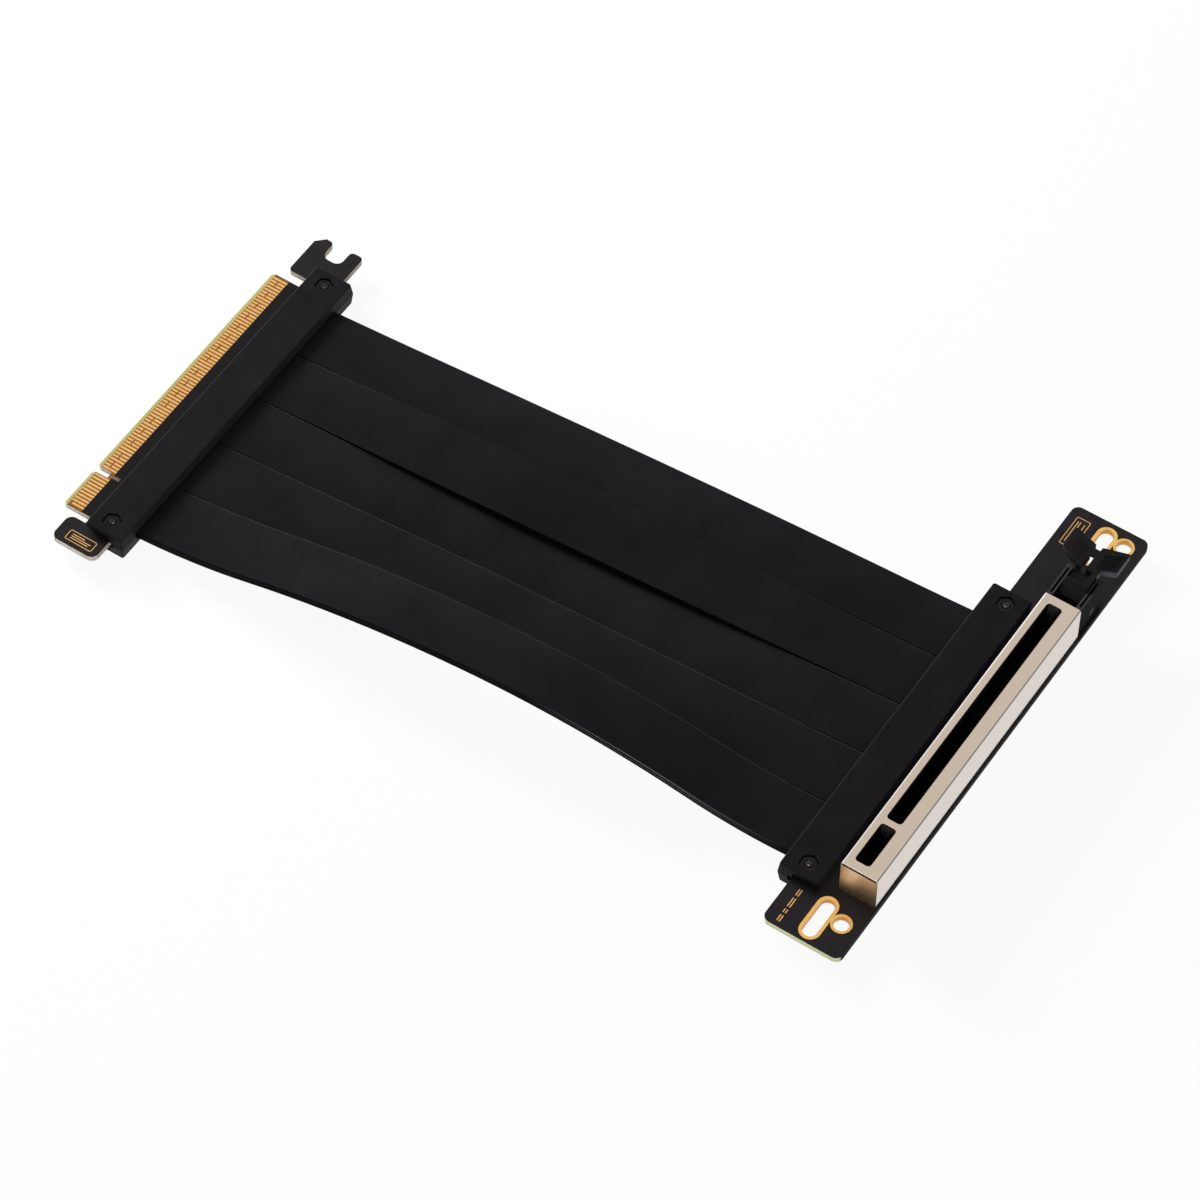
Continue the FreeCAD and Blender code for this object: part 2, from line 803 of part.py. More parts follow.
slot_place = (socket_x + sized("shell_inset"), socket_y - sized("shell_low"), board_top)
shell_wide = sized("shell_width")
shell_high = sized("shell_height")
metal = sized("shell_sheet")
mouth_low = sized("mouth_across") - sized("mouth_wide") / 2
mouth_high = sized("mouth_across") + sized("mouth_wide") / 2
short_mouth = (sized("mouth_start"), sized("mouth_start") + sized("short_tongue") + sized("mouth_room"))
long_start = short_mouth[1] + sized("key_wide") - sized("mouth_room")
long_mouth = (long_start, long_start + sized("long_tongue") + sized("mouth_room"))
shell_long = long_mouth[1] + sized("mouth_end")

shell = new_body("slot_shell")
section = sketch_on(shell, "XZ_Plane")
add_outline(section, [
    (0, 0), (metal, 0), (metal, shell_high - metal), (shell_wide - metal, shell_high - metal),
    (shell_wide - metal, 0), (shell_wide, 0), (shell_wide, shell_high), (0, shell_high),
])
folded = pad(shell, section, shell_long, backwards=True)
folded = fillet(shell, folded, long_edge_at((0, shell_wide), shell_high), sized("shell_bend"))
fillet(shell, folded, long_edge_at((metal, shell_wide - metal), shell_high - metal),
       sized("shell_bend") - metal)
flap = sketch_on(shell, "XZ_Plane")
add_box(flap, metal / 2, shell_wide - metal / 2, as_size(0), shell_high - metal - sized("flap_gap"))
pad(shell, flap, metal, backwards=True)
mouths = sketch_on(shell, "XY_Plane", lift=shell_high)
for low, high in (short_mouth, long_mouth):
    add_box(mouths, mouth_low, mouth_high, low, high)
opened = pocket(shell, mouths, metal + sized("flap_gap"))
mouth_corners = [(x, y) for x in (mouth_low, mouth_high) for y in (*short_mouth, *long_mouth)]
fillet(shell, opened, upright_at(mouth_corners), sized("mouth_round"))
set_place(shell, *slot_place)

housing = new_body("slot_housing")
room = sized("housing_room")
block_low = metal + room
block_high = shell_wide - metal - room
block_top = shell_high - metal - room
plan = sketch_on(housing, "XY_Plane")
add_box(plan, block_low, block_high, metal + room, shell_long)
block = pad(housing, plan, block_top)
fillet(housing, block, long_edge_at((block_low, block_high), block_top), sized("shell_bend") - metal)
cheek_low = sized("cheek_inset")
cheek_high = shell_wide - sized("cheek_inset")
cheek_start = shell_long + sized("cheek_step")
cheek_end = shell_long + sized("cheek_long")
lap = overrun / 2
ledge = sketch_on(housing, "XY_Plane")
add_box(ledge, block_low, block_high, shell_long - lap, cheek_end - lap)
pad(housing, ledge, sized("cheek_base"))
necks = sketch_on(housing, "XY_Plane")
add_box(necks, block_low, cheek_low + sized("cheek_thick"), shell_long - lap, cheek_start + lap)
add_box(necks, cheek_high - sized("cheek_thick"), block_high, shell_long - lap, cheek_start + lap)
pad(housing, necks, block_top - sized("shell_bend"))
cheeks = sketch_on(housing, "XY_Plane")
add_box(cheeks, cheek_low, cheek_low + sized("cheek_thick"), cheek_start, cheek_end)
add_box(cheeks, cheek_high - sized("cheek_thick"), cheek_high, cheek_start, cheek_end)
pad(housing, cheeks, block_top)
grooves = sketch_on(housing, "XY_Plane", lift=block_top)
groove_side = (sized("cheek_thick") - sized("groove_wide")) / 2
groove_ends = (cheek_start + sized("groove_end"), cheek_end - sized("groove_end"))
add_box(grooves, cheek_low + groove_side, cheek_low + groove_side + sized("groove_wide"), *groove_ends)
add_box(grooves, cheek_high - groove_side - sized("groove_wide"), cheek_high - groove_side, *groove_ends)
pocket(housing, grooves, sized("groove_deep"))
channels = sketch_on(housing, "XY_Plane", lift=block_top)
for low, high in (short_mouth, long_mouth):
    add_box(channels, mouth_low + sized("channel_inset"), mouth_high - sized("channel_inset"), low, high)
pocket(housing, channels, sized("channel_depth"))
pivot_y = shell_long + sized("pivot_out")
pivot_z = sized("pivot_up")
pivot_half = sized("pivot_wide") / 2
pivot_holes = sketch_on(housing, "YZ_Plane", lift=cheek_low)
add_circle(pivot_holes, pivot_y, pivot_z, pivot_half + sized("pivot_room"))
pocket(housing, pivot_holes, cheek_high - cheek_low, forwards=True)
set_place(housing, *slot_place)


# Slot contacts: leaf springs that lean inwards from both walls of the two channels and thin towards their tips

def make_springs():
    wall = (sized("mouth_wide") / 2 - sized("channel_inset") - sized("spring_wall_room")).value
    floor = (block_top - sized("channel_depth")).value
    thick = sized("spring_thick").value
    high = sized("spring_high").value
    reach = sized("spring_reach").value
    half = sized("spring_wide").value / 2
    centre = sized("mouth_across").value
    slot_key = (short_mouth[1] + long_mouth[0]).value / 2
    board_key = (key_low + key_high).value / 2
    springs = []
    for pin in range(1, all_pins + 1):
        y = slot_key + pin_offset(pin) - board_key
        for side in (-1, 1):
            outline = [(wall, 0), (wall - reach, high), (wall - thick, 0)]
            points = [Vector(centre + side * x, y - half, floor + z) for x, z in outline]
            face = Part.Face(Part.makePolygon(points + points[:1]))
            springs.append(face.extrude(Vector(0, 2 * half, 0)))
    group = add_group("slot_contacts", springs)
    set_place(group, *slot_place)


make_springs()


# Card latch: a lever between the cheeks, with a nose over the slot's end and two ribbed wings to press.
# Built about its pivot: y = 0 and z = 0 on the pivot line, x = 0 on its own middle.

latch = new_body("card_latch")
latch_x = sized("latch_across")
inner_low = cheek_low + sized("cheek_thick") + sized("latch_side_room") - latch_x
inner_high = cheek_high - sized("cheek_thick") - sized("latch_side_room") - latch_x
top = sized("latch_top") - pivot_z
under = top - sized("latch_plate")
hub = sized("latch_hub")
out = sized("pivot_out")
nose_tip = 0 - sized("nose_reach")
nose_low = top - sized("nose_drop")
arm_back = sized("wing_start") - out
arm_lap_end = arm_back + sized("arm_lap")
lever = sketch_on(latch, "YZ_Plane", lift=inner_low)
add_outline(lever, [
    (0 - hub, 0), (hub, 0), (hub, under - sized("arm_drop")), (arm_back, under), (arm_lap_end, under),
    (arm_lap_end, top), (sized("nose_top_room") - hub, top), (nose_tip, nose_low + sized("nose_face")),
    (nose_tip, nose_low), (0 - hub, nose_low - sized("nose_slope")),
])
pad(latch, lever, inner_high - inner_low)
barrel = sketch_on(latch, "YZ_Plane", lift=inner_low)
add_circle(barrel, 0, 0, hub)
pad(latch, barrel, inner_high - inner_low)
pins = sketch_on(latch, "YZ_Plane", lift=cheek_low + sized("cheek_inset") - latch_x)
add_circle(pins, 0, 0, pivot_half)
pad(latch, pins, cheek_high - cheek_low - 2 * sized("cheek_inset"))

half_wing = sized("wing_span") / 2
wing_root = arm_back
wing_side = wing_root + sized("wing_sweep")
wing_tip = wing_side + sized("wing_long")
half_gap = sized("wing_gap") / 2
half_notch = half_gap - sized("gap_narrowing")
half_window = sized("window_wide") / 2
wing_inner_tip = wing_tip - sized("wing_taper")
bridge_low = sized("bridge_start") - out
bridge_high = bridge_low + sized("bridge_wide")
wings = sketch_on(latch, "XY_Plane", lift=under)
add_outline(wings, [
    (half_gap, wing_root), (half_wing, wing_side), (half_wing, wing_tip), (half_notch, wing_inner_tip),
    (half_notch, bridge_high), (0 - half_notch, bridge_high), (0 - half_notch, wing_inner_tip),
    (0 - half_wing, wing_tip), (0 - half_wing, wing_side), (0 - half_gap, wing_root),
])
plate = pad(latch, wings, sized("latch_plate"))
fillet(latch, plate, upright_at([(side * half_wing, y) for side in (1, -1) for y in (wing_side, wing_tip)]),
       sized("wing_round"))
window = sketch_on(latch, "XY_Plane", lift=top + overrun)
add_box(window, 0 - half_window, half_window, wing_root - sized("window_back"), bridge_low)
pocket(latch, window, overrun + sized("latch_plate") + sized("window_drop"))
hollow = sketch_on(latch, "XY_Plane", lift=under)
add_box(hollow, 0 - half_notch, half_notch, bridge_low, bridge_high)
pocket(latch, hollow, sized("latch_plate") - sized("bridge_thick"), forwards=True)
rib_near = half_gap + sized("rib_near_room")
rib_far = half_wing - sized("rib_far_room")
rib_rise = (rib_far - rib_near) * sized("wing_sweep") / (half_wing - half_gap)
ribs = sketch_on(latch, "XY_Plane", lift=top)
for number in range(RIBS):
    start = wing_root + sized("rib_start") + sized("rib_pitch") * number
    for side in (1, -1):
        add_outline(ribs, [
            (side * rib_near, start),
            (side * rib_far, start + rib_rise),
            (side * rib_far, start + rib_rise + sized("rib_wide")),
            (side * rib_near, start + sized("rib_wide")),
        ])
pad(latch, ribs, sized("rib_high"))
set_place(latch, slot_place[0] + latch_x, slot_place[1] + pivot_y, slot_place[2] + pivot_z)

doc.recompute()
for item in doc.Objects:
    if {"Invalid", "Error"} & set(item.State):
        raise RuntimeError(f"{item.Label} is not computed")
for item in sub_parts:
    if item.Shape.isNull() or not item.Shape.isValid():
        raise RuntimeError(f"{item.Label} has no valid shape")
os.makedirs("parts", exist_ok=True)
for item in sub_parts:
    item.Shape.exportStep(f"parts/{item.Label}.step")
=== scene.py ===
import json
import math

import bmesh
import bpy
from mathutils import Euler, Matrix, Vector


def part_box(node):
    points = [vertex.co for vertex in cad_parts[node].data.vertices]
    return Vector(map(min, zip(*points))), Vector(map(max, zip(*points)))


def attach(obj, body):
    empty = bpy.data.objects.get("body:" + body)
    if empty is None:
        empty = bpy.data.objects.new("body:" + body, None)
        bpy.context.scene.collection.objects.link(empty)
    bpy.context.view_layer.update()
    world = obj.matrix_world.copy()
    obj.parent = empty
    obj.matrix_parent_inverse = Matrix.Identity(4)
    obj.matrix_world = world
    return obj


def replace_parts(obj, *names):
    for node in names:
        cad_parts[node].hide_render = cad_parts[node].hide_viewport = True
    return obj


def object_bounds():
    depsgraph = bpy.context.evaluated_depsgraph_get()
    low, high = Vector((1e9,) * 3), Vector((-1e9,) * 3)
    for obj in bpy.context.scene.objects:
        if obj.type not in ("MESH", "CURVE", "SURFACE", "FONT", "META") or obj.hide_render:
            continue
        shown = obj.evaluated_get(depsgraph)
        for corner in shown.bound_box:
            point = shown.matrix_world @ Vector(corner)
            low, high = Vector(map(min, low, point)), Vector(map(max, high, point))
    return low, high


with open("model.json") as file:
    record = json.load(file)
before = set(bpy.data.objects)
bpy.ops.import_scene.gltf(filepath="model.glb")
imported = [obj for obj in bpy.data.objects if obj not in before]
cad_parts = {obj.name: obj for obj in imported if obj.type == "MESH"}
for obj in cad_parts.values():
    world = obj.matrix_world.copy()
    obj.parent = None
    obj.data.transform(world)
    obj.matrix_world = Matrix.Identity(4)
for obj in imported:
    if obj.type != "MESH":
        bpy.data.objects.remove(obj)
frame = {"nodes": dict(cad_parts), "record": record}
cad_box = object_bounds()

MM = 0.001

# Places taken from the frame, in metres

plug_board_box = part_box("plug_board")
socket_board_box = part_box("socket_board")
finger_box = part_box("plug_contacts_upper")
plug_clamp_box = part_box("plug_cover_upper")
socket_clamp_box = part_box("socket_cover_upper")
shell_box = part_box("slot_shell")
board_top = plug_board_box[1].z
board_under = plug_board_box[0].z
mounts = {mount["name"]: mount for mount in frame["record"]["mounts"]}
latch_pivot = Vector(frame["record"]["behaviour"]["joints"][0]["pos_m"])
latch_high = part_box("card_latch")[1].z
strip_drift = math.atan2(
    socket_clamp_box[0].y - plug_clamp_box[0].y, socket_clamp_box[0].x - plug_clamp_box[0].x,
)

# Rounded edges, each as its width and its count of steps

COVER_ROUND = (0.25 * MM, 3)
UPPER_STRIP_ROUND = (0.27 * MM, 3)
LOWER_STRIP_ROUND = (0.1 * MM, 3)
STRIP_UNDER_ROUND = (0.1 * MM, 2)
LATCH_ROUND = (0.16 * MM, 2)
SHELL_ROUND = (0.26 * MM, 1)
MOUTH_ROUND = (0.11 * MM, 2)
CHEEK_ROUND = (0.07 * MM, 2)

# Limits that sort points, edges and faces; the last three are parts of a direction of length 1

SAME_POINT = 0.002 * MM
SAME_LEVEL = 0.01 * MM
SAME_PLANE = math.radians(0.2)
SLIGHT_ANGLE = math.radians(8)
SHARP_ANGLE = math.radians(28)
SMOOTH_ANGLE = math.radians(36)
FLAT_AREA = 8 * MM * MM
FASTENER_ROOM = 3.2 * MM
LENGTHWISE = 0.8
UPWARD = 0.5
UPRIGHT = 0.9

# Latch

RIB_HIGH = 0.3 * MM
POCKET_HALF = 2.35 * MM
POCKET_START = 0.3 * MM
POCKET_END = 4.4 * MM
POCKET_DEEP = 1.5 * MM

latch_top = latch_high - RIB_HIGH
latch_ribs = ((None, None, latch_top), (None, None, None))
latch_pocket = (
    (latch_pivot.x - POCKET_HALF, latch_pivot.y + POCKET_START, latch_top - POCKET_DEEP),
    (latch_pivot.x + POCKET_HALF, latch_pivot.y + POCKET_END, latch_top),
)

# Contact tongue of the plug

PIN_PITCH = 1.0 * MM
SHORT_PINS = 11
ALL_PINS = 82
FINGER_WIDE = 0.66 * MM
FINGER_SHOWN = 0.58 * MM
FINGER_LIFT = 0.05 * MM
FINGER_EASE = 0.02 * MM
FIRST_FINGER_CUT = 0.6 * MM
FINGER_BREAK_AT = 1.55 * MM
FINGER_BREAK = 0.35 * MM
UPPER_BREAKS = (13, 16, 21, 25, 29, 35, 39, 43, 47, 52, 56, 60, 64, 68, 72, 76, 80)
LOWER_BREAKS = (14, 19, 23, 27, 33, 37, 41, 45, 50, 54, 58, 62, 66, 70, 74, 78)
KEY_MARGIN = 0.55 * MM
KEY_WIDE = 1.9 * MM
KEY_LINE = 0.5 * MM
BARE_BEYOND = 2.0 * MM

first_pin = finger_box[0].y + FINGER_WIDE / 2
last_pin = finger_box[1].y - FINGER_WIDE / 2
short_tongue_end = first_pin + (SHORT_PINS - 1) * PIN_PITCH + KEY_MARGIN
bare_fingers = (
    (None, finger_box[0].y - KEY_MARGIN, None), (finger_box[1].x, finger_box[1].y + KEY_MARGIN, None),
)
# Painted shade on the solder mask between the fingers and the clamp
painted_shade_on_mask = (
    (finger_box[1].x, finger_box[0].y - KEY_MARGIN, None),
    (plug_clamp_box[0].x, finger_box[1].y + KEY_MARGIN, None),
)
bare_behind_key = (
    (None, short_tongue_end + KEY_LINE, None),
    (finger_box[1].x + BARE_BEYOND, short_tongue_end + KEY_WIDE - KEY_LINE, None),
)

# Plated rims of the mounting holes

SLOT_RIM = 0.8 * MM
HOLE_RIM = 0.63 * MM
PLATING = 0.05 * MM
PLATING_STEP = 0.005 * MM
ARC_STEPS = 24

# Nuts and bolts of the clamps

AROUND = 48
NUT_FLATS = 4.0 * MM
NUT_CROWN = 0.94
NUT_SLOPE = math.tan(math.radians(30))
BOLT_HALF = 1.0 * MM
BOLT_ROOM = 0.03 * MM
BOLT_DOME = 0.3 * MM
DOME_STEP = BOLT_DOME / 3
THREAD_EASE = 0.2 * MM
DRIVE_HALF = 0.85 * MM
DRIVE_DEEP = 0.6 * MM
HEAD_EASE = 0.12 * MM
HEAD_STEP = HEAD_EASE / 4

# Marks on the boards; a bar is given by its sides, as shares of the width and the length of its label

INK = 0.03 * MM
STROKE = 0.2 * MM
CORNER_STEPS = 6
LABEL_ROUND = 0.45 * MM
BAR_ROUND = 0.1 * MM
PLUG_LABEL_IN = (6.35 * MM, 1.3 * MM)
PLUG_LABEL_SIZE = (7.8 * MM, 3.0 * MM)
PLUG_BARS = ((0.14, 0.80, 0.26, 0.34), (0.14, 0.86, 0.46, 0.54), (0.14, 0.60, 0.66, 0.74))
SOCKET_LABEL_IN = (2.2 * MM, 11.9 * MM)
SOCKET_LABEL_SIZE = (3.8 * MM, 9.1 * MM)
SOCKET_BARS = ((0.22, 0.28, 0.12, 0.88), (0.38, 0.44, 0.12, 0.88), (0.70, 0.76, 0.64, 0.86))
ROW_IN = 3.15 * MM
ROW_WIDE = 0.9 * MM
ROW_BAR = 0.28 * MM
ROW_START = 1.4 * MM
ROW_GAP = 0.7 * MM
ROW_LONG = (1.9 * MM, 1.15 * MM, 2.8 * MM, 1.95 * MM)

# Masks of the materials, each from its start to its end, by how squarely a face looks one way

SQUARE_ON = (0.8, 0.95)
ON_CORNER = (0.85, 0.95)
CUT_FACE = (0.5, 0.8)
LEVEL_FACE = (0.95, 0.99)
PLATED_FACE = (0.3, 0.9)
STRIP_SIDE = (0.3, 0.6)
FAR_ROUND = (0.19, 0.24)
NEAR_ROUND = (0.2, 0.25)
PLAIN_SIDE = (0.975, 0.99)
# The next range marks the painted shade line on the shell's bend towards +X
BEND_SHADE_LINE = (0.40, 0.47)

# Other measures of the materials

# Where the painted highlight on the nearest strip's edge starts, is full, fades and ends, as shares of its
# length
EDGE_HIGHLIGHT_STRETCH = (0.6, 0.74, 0.8, 0.97)
EDGE_BLEND = 0.1
EDGE_STREAK = 0.8
SHEET_LEAN = 0.14
SHEET = 0.45 * MM
FLAP_DULL = 0.17

# Floor and sky; from the start to the end of SKY_RISE the sky turns from white to the tone of the ceiling

FLOOR_HALF = 4.0
FLOOR_TONE = (0.86, 0.86, 0.85)
FLOOR_ROUGHNESS = 0.8
FLOOR_WHITE = 0.93
SKY_WHITE = 1.0
SKY_RISE = (0.45, 0.8)
CEILING = (0.80, 0.71, 0.61)
FILL = 0.16
WHITE = (1, 1, 1)

# Lamps, each with its name, its place and size in metres, and its power in watts

LAMPS = (
    ("key", (-0.86, 0.25, 0.38), 0.32, 20.0),
    ("front", (0.35, -0.85, 0.30), 0.5, 3.4),
    ("side", (0.85, 0.15, 0.32), 0.4, 1.0),
)
GLINT = ("glint", (-0.10, 0.15, 1.00), 0.06, 1.5)

# Camera, with its place in metres, its turn in degrees and its lens in millimetres

CAMERA_PLACE = (0.38876, -0.59574, 0.97000)
CAMERA_TURN = (35.664, -0.381, 33.586)
CAMERA_LENS = 151.45
CAMERA_SENSOR = 36.0


# Materials

MIX_SHARE, MIX_FIRST, MIX_SECOND, MIX_RESULT = 0, 6, 7, 2


def lin(red, green, blue):
    """A colour given in the usual 0 to 255 steps, as the linear values that a shader takes."""
    steps = []
    for channel in (red, green, blue):
        share = channel / 255
        steps.append(share / 12.92 if share <= 0.04045 else ((share + 0.055) / 1.055) ** 2.4)
    return tuple(steps)


def add_node(tree, kind, inputs=None, **settings):
    """A new shader node, with sockets linked and plain values set in its inputs."""
    node = tree.nodes.new(kind)
    for name, value in settings.items():
        setattr(node, name, value)
    for socket, value in (inputs or {}).items():
        if isinstance(value, bpy.types.NodeSocket):
            tree.links.new(value, node.inputs[socket])
        else:
            node.inputs[socket].default_value = value
    return node


def mixed(tree, mask, first, second):
    """A colour between two colours or colour sockets."""
    ends = [end if isinstance(end, bpy.types.NodeSocket) else (*end, 1) for end in (first, second)]
    inputs = {MIX_SHARE: mask, MIX_FIRST: ends[0], MIX_SECOND: ends[1]}
    return add_node(tree, "ShaderNodeMix", inputs, data_type="RGBA").outputs[MIX_RESULT]


class Finish:
    """A procedural material: a principled shader, with helpers that feed its sockets from textures."""

    def __init__(self, name, colour, roughness, **sockets):
        self.material = bpy.data.materials.new(name)
        self.material.use_nodes = True
        self.tree = self.material.node_tree
        self.shader = self.tree.nodes["Principled BSDF"]
        self.shader.inputs["Base Color"].default_value = (*colour, 1)
        self.shader.inputs["Roughness"].default_value = roughness
        for socket, value in sockets.items():
            self.shader.inputs[socket.replace("_", " ")].default_value = value
        self.normal = None

    def add(self, kind, inputs=None, **settings):
        """A new shader node in this material."""
        return add_node(self.tree, kind, inputs, **settings)

    def feed(self, socket, value):
        """Leads a value or a colour into a socket of the shader."""
        self.tree.links.new(value, self.shader.inputs[socket])

    def reckon(self, operation, *values):
        """The outcome of a sum on values or sockets."""
        return self.add("ShaderNodeMath", dict(enumerate(values)), operation=operation).outputs[0]

    def vector(self, operation, *values):
        """The node for a sum on vectors."""
        return self.add("ShaderNodeVectorMath", dict(enumerate(values)), operation=operation)

    def mix(self, mask, first, second):
        """A colour that goes from the first to the second as the mask goes from 0 to 1."""
        return mixed(self.tree, mask, first, second)

    def between(self, mask, low, high, start=0.3, end=0.7):
        """A value that goes from low to high as the mask goes from start to end."""
        node = self.add("ShaderNodeMapRange", {
            "Value": mask, "From Min": start, "From Max": end, "To Min": low, "To Max": high,
        })
        return node.outputs["Result"]

    def without(self, mask):
        """A mask that is 1 where the given mask is 0."""
        return self.between(mask, 1, 0, 0, 1)

    def axes(self, vector):
        """The three parts of a vector, by the names of the axes."""
        return self.add("ShaderNodeSeparateXYZ", {"Vector": vector}).outputs

    def place(self):
        """Where on the object a point is, in metres."""
        return self.add("ShaderNodeTexCoord").outputs["Object"]

    def facing(self):
        """The way a face looks, without smoothing."""
        return self.add("ShaderNodeNewGeometry").outputs["True Normal"]

    def noise(self, size, detail=3.0, stretch=(1, 1, 1), turn=0.0):
        """Cloudy noise whose grain is about size millimetres, stretched along axes turned about Z."""
        turned = self.add("ShaderNodeMapping", {"Vector": self.place(), "Rotation": (0, 0, turn)})
        scale = tuple(1 / (MM * size * length) for length in stretch)
        places = self.add("ShaderNodeMapping", {"Vector": turned.outputs[0], "Scale": scale}).outputs[0]
        inputs = {"Vector": places, "Scale": 1.0, "Detail": detail}
        return self.add("ShaderNodeTexNoise", inputs).outputs["Fac"]

    def inside(self, low, high):
        """A mask that is 1 in a box, whose corners are in metres; None leaves a side open."""
        axes = self.axes(self.place())
        mask = None
        for axis in range(3):
            for limit, operation in ((low[axis], "GREATER_THAN"), (high[axis], "LESS_THAN")):
                if limit is not None:
                    test = self.reckon(operation, axes[axis], limit)
                    mask = test if mask is None else self.reckon("MULTIPLY", mask, test)
        return mask

    def level(self):
        """How level the surface lies: 1 on level faces, 0 on walls."""
        return self.reckon("ABSOLUTE", self.axes(self.facing())["Z"])

    def towards(self, way, start, end):
        """A mask for the faces that look one way."""
        along = self.vector("DOT_PRODUCT", self.facing(), way).outputs["Value"]
        return self.between(along, 0, 1, start, end)

    def raise_by(self, height, depth, strength):
        """Relief of the given depth in millimetres; calls add up."""
        inputs = {"Height": height, "Distance": depth * MM, "Strength": strength}
        if self.normal is not None:
            inputs["Normal"] = self.normal
        self.normal = self.add("ShaderNodeBump", inputs).outputs["Normal"]
        self.feed("Normal", self.normal)


def moulded_plastic(name, dark, light, grain, roughness, shine, sides=(), hollows=()):
    """Moulded plastic with a fine eroded grain and slight clouding.

    Each pair in sides is a direction and the tone of the faces that look that way, painted light where it is
    lighter and painted shade where it is darker, and each pair in hollows is a box and the tone in it; a dark
    tone there is painted shade.
    """
    finish = Finish(name, dark, roughness, Specular_IOR_Level=shine)
    clouds = finish.noise(6.0, detail=4.0)
    fine = finish.noise(grain, detail=2.0)
    tone = finish.mix(finish.between(clouds, 0, 1), dark, light)
    for way, other in sides:
        tone = finish.mix(finish.towards(way, *SQUARE_ON), tone, other)
    for zone, other in hollows:
        tone = finish.mix(finish.inside(*zone), tone, other)
    finish.feed("Base Color", tone)
    finish.feed("Roughness", finish.between(fine, roughness - 0.06, roughness + 0.08))
    finish.raise_by(fine, 0.012, 0.7)
    return finish


def painted_edge_highlight(finish):
    """A mask for the painted highlight on a stretch of the nearest strip's rounded edge, which fades at both
    ends.
    """
    low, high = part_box("strip_upper_1")
    along = finish.axes(finish.place())["X"]
    rise, full, fade, end = (low.x + share * (high.x - low.x) for share in EDGE_HIGHLIGHT_STRETCH)
    mask = finish.inside((None, None, None), (None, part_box("strip_upper_2")[0].y, None))
    for part in (
        finish.between(along, 0, 1, rise, full), finish.between(along, 1, 0, fade, end),
        finish.towards((0, -1, 0), *NEAR_ROUND), finish.without(finish.towards((0, -1, 0), *PLAIN_SIDE)),
    ):
        mask = finish.reckon("MULTIPLY", mask, part)
    return mask


def ribbon_jacket():
    """Satin black jacket of the flat strips, with the faint lengthwise lines of the wires under it.

    The far rounded edges get a painted highlight, the sides painted shade, and one stretch of the nearest
    edge a painted highlight.
    """
    dark = lin(19, 19, 22)
    light = lin(25, 25, 28)
    finish = Finish("ribbon_jacket", dark, 0.5)
    along = finish.noise(1.0, detail=3.0, stretch=(120, 0.45, 1), turn=-strip_drift)
    wires = finish.noise(1.0, detail=2.0, stretch=(400, 1.1, 1), turn=-strip_drift)
    clouds = finish.noise(14.0, detail=3.0)
    tone = finish.mix(finish.between(clouds, 0, 1), dark, light)
    # Painted highlight on the far rounded edges, and painted shade on the strips' sides
    tone = finish.mix(finish.towards((0, 1, 0), *FAR_ROUND), tone, lin(56, 55, 57))
    sides = finish.reckon("ADD", *(finish.towards((0, side, 0), *STRIP_SIDE) for side in (1, -1)))
    tone = finish.mix(sides, tone, lin(8, 8, 9))
    # Painted highlight on one stretch of the nearest strip's near rounded edge
    finish.feed("Base Color", finish.mix(painted_edge_highlight(finish), tone, lin(104, 104, 106)))
    finish.feed("Specular IOR Level", finish.between(sides, 0.06, 0.015, 0, 1))
    finish.feed("Roughness", finish.between(along, 0.46, 0.54))
    finish.raise_by(wires, 0.006, 0.5)
    finish.raise_by(along, 0.002, 0.5)
    return finish


def board_laminate(name, edge_pale, edge_dark, bare_and_shade=(), tinted=()):
    """Black solder mask on the faces of a board, and on its cut edges the pale layers of the laminate.

    Each entry in the list of zones is a box and the two tones of the board's faces in it: unmasked laminate,
    and in one zone painted shade on the solder mask. Each entry in tinted is a direction, how closely edges
    have to face that way, and their colour.
    """
    dark = lin(26, 24, 27)
    light = lin(33, 30, 33)
    finish = Finish(name, dark, 0.4)
    weave = finish.noise(0.5, detail=2.0)
    clouds = finish.noise(5.0, detail=3.0)
    mask = finish.mix(finish.between(clouds, 0, 1), dark, light)
    # Tones of unmasked laminate, and in one zone painted shade on the solder mask
    for zone, deep, pale in bare_and_shade:
        laminate = finish.mix(finish.between(weave, 0, 1), deep, pale)
        mask = finish.mix(finish.inside(*zone), mask, laminate)

    layers = finish.noise(1.0, detail=1.0, stretch=(60, 60, 0.22))
    edge = finish.mix(finish.between(layers, 0, 1), edge_dark, edge_pale)
    for way, closely, colour in tinted:
        streak = tuple(EDGE_STREAK * channel for channel in colour)
        tint = finish.mix(finish.between(layers, 0, 1), colour, streak)
        edge = finish.mix(finish.towards(way, closely, closely + EDGE_BLEND), edge, tint)
    on_face = finish.between(finish.level(), 0, 1, *LEVEL_FACE)
    finish.feed("Base Color", finish.mix(on_face, edge, mask))
    finish.feed("Specular IOR Level", finish.between(on_face, 0.01, 0.14, 0, 1))
    finish.feed("Roughness", finish.between(weave, 0.34, 0.46))
    finish.raise_by(weave, 0.008, 0.5)
    return finish


def plated_gold(name, dull, bright, roughness, wall=None):
    """Gold plate, a little uneven in colour and polish, and with a darker tone on walls where one is given,
    which is painted shade.
    """
    finish = Finish(name, dull, roughness, Metallic=1.0)
    patches = finish.noise(0.9, detail=3.0)
    fine = finish.noise(0.12, detail=2.0)
    tone = finish.mix(finish.between(patches, 0, 1), dull, bright)
    if wall is not None:
        tone = finish.mix(finish.between(finish.level(), 0, 1, *PLATED_FACE), wall, tone)
    finish.feed("Base Color", tone)
    finish.feed("Roughness", finish.between(patches, roughness - 0.08, roughness + 0.1))
    finish.raise_by(fine, 0.004, 0.6)
    return finish


